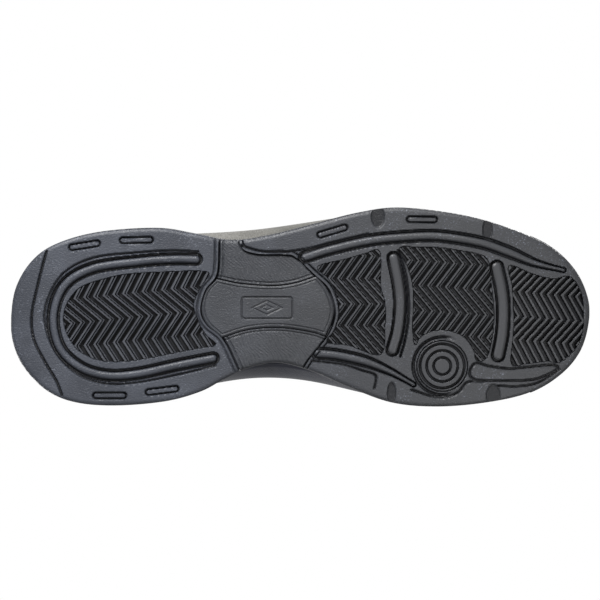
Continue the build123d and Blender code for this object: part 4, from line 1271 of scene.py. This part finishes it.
def turned_ring(name, profile, sides=28):
    """A ring turned from a closed profile of (radius, height) points."""
    angle = np.linspace(0, 2 * math.pi, sides, endpoint=False)
    verts = [(r * math.cos(a), r * math.sin(a), h) for a in angle for r, h in profile]
    mesh = new_mesh(name, verts, ring_faces(sides, len(profile), closed=True))
    outward(mesh)
    return link(name, mesh)


gunmetal = Finish("gunmetal", Metallic=1.0, Roughness=0.3)
rubbed = gunmetal.noise(400.0, 3.0)
gunmetal.coat(rubbed, (0.07, 0.07, 0.08), (0.16, 0.16, 0.17), gunmetal.noise(1500.0), 0.00005)
gunmetal.set("Roughness", 0.22 + rubbed * 0.25)
RING = [(2.1, -4.5), (2.1, 0.1), (2.3, 0.6), (2.8, 0.85), (3.3, 0.7), (3.6, 0.2), (3.6, -0.2),
        (2.6, -0.3), (2.5, -4.5)]
ring_shape = turned_ring("eyelet_ring", RING)
eyelet_rows = []
for i in range(EYELET_ROWS):
    x = EYELET_FRONT - EYELET_STEP * i
    eyelet_rows.append([on_top(x, -(18.5 + i)), on_top(x, 19.5 + i)])
for side, name in enumerate(("lateral_eyelets", "medial_eyelets")):
    places = [row[side][0] for row in eyelet_rows]
    normals = [row[side][1] for row in eyelet_rows]
    rings_made = repeat(name + "_rolled", places, normals, [(1, 0, 0)] * EYELET_ROWS, ring_shape,
                        gunmetal.material)
    fixed(rings_made, "eyelet", "shoe", name)
bpy.data.objects.remove(ring_shape)

route, widths = [], []
for i, row in enumerate(eyelet_rows):
    pair = []
    for point, normal in (row if i % 2 == 0 else row[::-1]):
        edge, edge_normal = on_top(point[0], point[1] * LACE_EDGE_SHARE)
        pair.append([point - normal * LACE_UNDER, point + normal * LACE_OVER, edge + edge_normal * LACE_OVER])
    crown_point, up = on_top(eyelet_rows[i][0][0][0], 1.0, TONGUE_OUT)
    crown_point = crown_point + up * LACE_OVER
    sagging = crown_point[2] > (pair[0][2][2] + pair[1][2][2]) / 2
    crossing = [crown_point] if sagging else []
    route += [*pair[0], *crossing, *pair[1][::-1]]
    widths += [2.8, 4.0, LACE_WIDTH, *([LACE_WIDTH] * sagging), LACE_WIDTH, 4.0, 2.8]
route = [route[0] + (6, 0, -3), *route, route[-1] + (-6, 0.5, 2)]
widths = [2.8, *widths, 2.8]


def ribbon(name, points, widths, thick, first_side, material):
    """A flat woven band swept along a route, turning as little as it can."""
    points, widths = np.array(points, float), np.array(widths, float)
    dense, wide = [], []
    padded = np.vstack([2 * points[0] - points[1], points, 2 * points[-1] - points[-2]])
    for k in range(len(points) - 1):
        p0, p1, p2, p3 = padded[k:k + 4]
        length = np.linalg.norm(p2 - p1)
        m1 = (p2 - p0) / max(np.linalg.norm(p2 - p0), 1e-6) * length * 0.7
        m2 = (p3 - p1) / max(np.linalg.norm(p3 - p1), 1e-6) * length * 0.7
        for t in np.linspace(0, 1, max(3, int(length / 0.7)), endpoint=False):
            dense.append((2*t**3 - 3*t**2 + 1) * p1 + (t**3 - 2*t**2 + t) * m1
                         + (3*t**2 - 2*t**3) * p2 + (t**3 - t**2) * m2)
            wide.append(widths[k] + (widths[k + 1] - widths[k]) * t * t * (3 - 2 * t))
    dense, wide = np.array(dense), np.array(wide)
    way = np.gradient(dense, axis=0)
    way /= np.linalg.norm(way, axis=1)[:, None]
    side = np.array(first_side, float)
    verts = []
    around = np.linspace(0, 2 * math.pi, 14, endpoint=False)
    for centre, ahead, width in zip(dense, way, wide):
        side = side - ahead * (side @ ahead)
        side /= np.linalg.norm(side)
        up = np.cross(ahead, side)
        deep = thick * (1 + 0.5 * (LACE_WIDTH - width) / LACE_WIDTH)
        for a in around:
            c, h = math.cos(a), math.sin(a)
            verts.append(centre + side * width / 2 * abs(c) ** 0.75 * math.copysign(1, c)
                         + up * deep / 2 * abs(h) ** 0.75 * math.copysign(1, h))
    size, count = len(around), len(dense)
    faces = ring_faces(count, size)
    faces += [tuple(range(size))[::-1], tuple((count - 1) * size + k for k in range(size))]
    mesh = new_mesh(name, verts, faces)
    _, travelled = measured(dense)
    layer_uv = mesh.uv_layers.new(name="UVMap").data
    for loop in mesh.loops:
        i, k = divmod(loop.vertex_index, size)
        layer_uv[loop.index].uv = (travelled[i] * MM, abs(k - size / 2) / size * LACE_WIDTH * MM * 2)
    outward(mesh)
    return link(name, mesh, material)


def woven(name, dark, light, pitch):
    """Woven tape: a slanted rib each side of the middle, laid out by the UVs."""
    finish = Finish(name, Roughness=0.75, Sheen_Weight=0.3)
    parts = finish.add("ShaderNodeSeparateXYZ", {}, finish.add("ShaderNodeTexCoord", {}).out("UV"))
    turn = 2 * math.pi / pitch
    slant = (parts.out("X") + parts.out("Y") * 0.9) * turn
    rib = slant.sine() * 0.5 + 0.5
    strand = (parts.out("Y") * (turn * 1.7)).sine() * 0.5 + 0.5
    finish.set("Base Color", finish.blend(rib * strand, dark, light))
    finish.bump(rib * 0.7 + strand * 0.3, 0.00025)
    return finish.material


def seam(field, level, side, low_x, high_x, upright=False):
    """Places in the grid where field crosses level, on one side of the crest, in order along it.

    A lying seam is looked for along each section, and an upright one along the shoe."""
    middle = ACROSS // 2
    columns = range(0, middle) if side < 0 else range(ACROSS - 2, middle, -1)
    rows = [i for i in range(2, ALONG - 2) if low_x < sx[i, middle] < high_x]
    ahead = (1, 0) if upright else (0, 1)
    tracks = [[(i, j) for i in rows] for j in columns] if upright else [
        [(i, j) for j in columns] for i in rows]
    line = []
    for track in tracks:
        for i, j in track:
            a, b = field[i, j] - level, field[i + ahead[0], j + ahead[1]] - level
            if (a > 0) != (b > 0) and whole[i, j] > 0.5 and low_zone[i, j] * upright >= 0:
                line.append((i, j, *ahead, a / (a - b)))
                break
    return line


def stitched(name, seams, bending, depth=-0.35, pitch=3.1):
    """Rows of short thread stitches laid along seams."""
    points, normals, tangents = [], [], []
    outer = skin + depth * inward
    for line in seams:
        if len(line) < 3:
            continue
        at = np.array([outer[i, j] * (1 - t) + outer[i + di, j + dj] * t for i, j, di, dj, t in line])
        facing_out = []
        for i, j, *_ in line:
            normal = np.cross(skin[i + 1, j] - skin[i - 1, j], skin[i, j + 1] - skin[i, j - 1])
            normal /= np.linalg.norm(normal)
            facing_out.append(normal * math.copysign(1, normal @ -inward[i, j]))
        lengths, run = measured(at)
        for stop in np.arange(pitch / 2, run[-1], pitch):
            k = min(int(np.searchsorted(run, stop)) - 1, len(at) - 2)
            if lengths[k] > 6:
                continue
            share = (stop - run[k]) / max(lengths[k], 1e-6)
            points.append(at[k] * (1 - share) + at[k + 1] * share)
            normals.append(facing_out[k])
            tangents.append(at[k + 1] - at[k])
    piece = repeat(name, points, normals, tangents, stitch_shape, thread_finish.material)
    if bending:
        bends(piece, "lace")
    else:
        fixed(piece, "lace", "shoe")


thread_finish = Finish("thread", Roughness=0.6)
twist = thread_finish.noise(3500.0, 2.0)
thread_finish.coat(twist, (0.05, 0.055, 0.07), (0.13, 0.14, 0.17), twist, 0.0001)
bpy.ops.mesh.primitive_uv_sphere_add(segments=8, ring_count=5, radius=1.0)
stitch_shape = bpy.context.active_object
stitch_shape.name = "stitch"
stitch_shape.data.transform(Matrix.Diagonal((1.15 * MM, 0.3 * MM, 0.22 * MM, 1.0)))
stitch_shape.data.shade_smooth()
for side, name in ((-1, "lateral"), (1, "medial")):
    top_edge = seam(low_zone, 2.0, side, -99, 52)
    second = seam(low_zone, 3.8, side, -99, 52)
    heel_edge = seam(low_zone, 2.0, side, -146, -101)
    facing_out = seam(facing_zone, 2.2, side, -60, 46)
    facing_in = seam(clear_throat, 2.4, side, -60, 35)
    collar_edge = seam(below_top, 8.5, side, -140, -62)
    heel_front = seam(HEEL_OVERLAY_FRONT + 1 - sx, 2.2, side, -110, -95, upright=True)
    stitched(name + "_stitches", [top_edge, second, heel_edge, facing_out, facing_in, collar_edge,
                                  heel_front], False)
    toe_front = [seam(toe_seam, level, side, 30, 64, upright=True) for level in (2.2, 4.2)]
    toe_tops = [seam(low_zone, level, side, 52, 125) for level in (2.0, 3.8)]
    stitched(name + "_toe_stitches", toe_front + toe_tops, True, -0.5)
bpy.data.objects.remove(stitch_shape)


lace_cloth = woven("woven_lace", (0.006, 0.007, 0.01), (0.04, 0.043, 0.055), 0.0011)
lace = ribbon("lace_tape", route, widths, LACE_THICK, (1, 0, 0), lace_cloth)
fixed(lace, "lace", "shoe", "lace")

keeper_zone = np.minimum(4 - abs(pad[..., 0] + 4), 10.5 - abs(pad[..., 1] - 0.5))
keeper_zone = np.where(sz > 60, keeper_zone, -5.0)
keeper_depth = TONGUE_OUT - 0.9 + 0.6 * (1 - ramp(keeper_zone, 0, 0.8))
keeper = shell("lace_keeper_loop", skin + keeper_depth[..., None] * inward,
               skin + (TONGUE_OUT + 0.3) * inward, keeper_zone, lace_cloth)
fixed(keeper, "lace", "shoe", "lace_keeper")


# ------------------------------------------------------------------ stage
# A pale floor that shows only from above, under soft light from every side. The camera and the
# key light are below it, so it neither hides the sole nor shades it.
floor_mesh = bpy.data.meshes.new("floor")
floor_mesh.from_pydata([(-3, -3, 0), (3, -3, 0), (3, 3, 0), (-3, 3, 0)], [], [(0, 1, 2, 3)])
floor_finish = Finish("pale_floor", Roughness=0.8, Emission_Color=(1, 1, 1, 1), Emission_Strength=0.55)
speckle = floor_finish.noise(60.0, 3.0)
floor_finish.set("Base Color", floor_finish.blend(speckle, (0.78, 0.78, 0.78), (0.82, 0.82, 0.82)))
back = floor_finish.add("ShaderNodeNewGeometry", {}).out("Backfacing")
clear = floor_finish.add("ShaderNodeBsdfTransparent", {})
one_sided = floor_finish.add("ShaderNodeMixShader", {}, back)
floor_finish.tree.links.new(floor_finish.shader.outputs[0], one_sided.node.inputs[1])
floor_finish.tree.links.new(clear.socket, one_sided.node.inputs[2])
output = next(n for n in floor_finish.tree.nodes if n.type == "OUTPUT_MATERIAL")
floor_finish.tree.links.new(one_sided.socket, output.inputs["Surface"])
floor = link("floor", floor_mesh, floor_finish.material)
floor.visible_diffuse = False
floor.visible_glossy = False
floor.visible_transmission = False
floor.visible_shadow = False

world = bpy.data.worlds.new("studio")
bpy.context.scene.world = world
world.use_nodes = True
background = world.node_tree.nodes["Background"]
background.inputs["Color"].default_value = (1.0, 1.0, 1.0, 1.0)
seen = world.node_tree.nodes.new("ShaderNodeLightPath")
level = world.node_tree.nodes.new("ShaderNodeMapRange")
level.inputs["To Min"].default_value, level.inputs["To Max"].default_value = 0.3, 1.0
world.node_tree.links.new(seen.outputs["Is Camera Ray"], level.inputs["Value"])
world.node_tree.links.new(level.outputs["Result"], background.inputs["Strength"])


def soft_light(name, place, size, power):
    """A square soft light that faces the middle of the shoe."""
    data = bpy.data.lights.new(name, "AREA")
    data.size = size
    data.energy = power
    lamp = bpy.data.objects.new(name, data)
    bpy.context.scene.collection.objects.link(lamp)
    lamp.location = place
    lamp.rotation_euler = (Vector((0, 0, 0.03)) - Vector(place)).to_track_quat("-Z", "Y").to_euler()


soft_light("key_below", (-0.3, -0.8, -0.65), 0.35, 18.0)
soft_light("fill_below", (0.6, 0.5, -0.9), 0.7, 5.0)
soft_light("key_above", (0.5, -0.7, 1.0), 0.6, 26.0)
soft_light("rim_above", (-0.8, 0.6, 0.8), 0.6, 15.0)
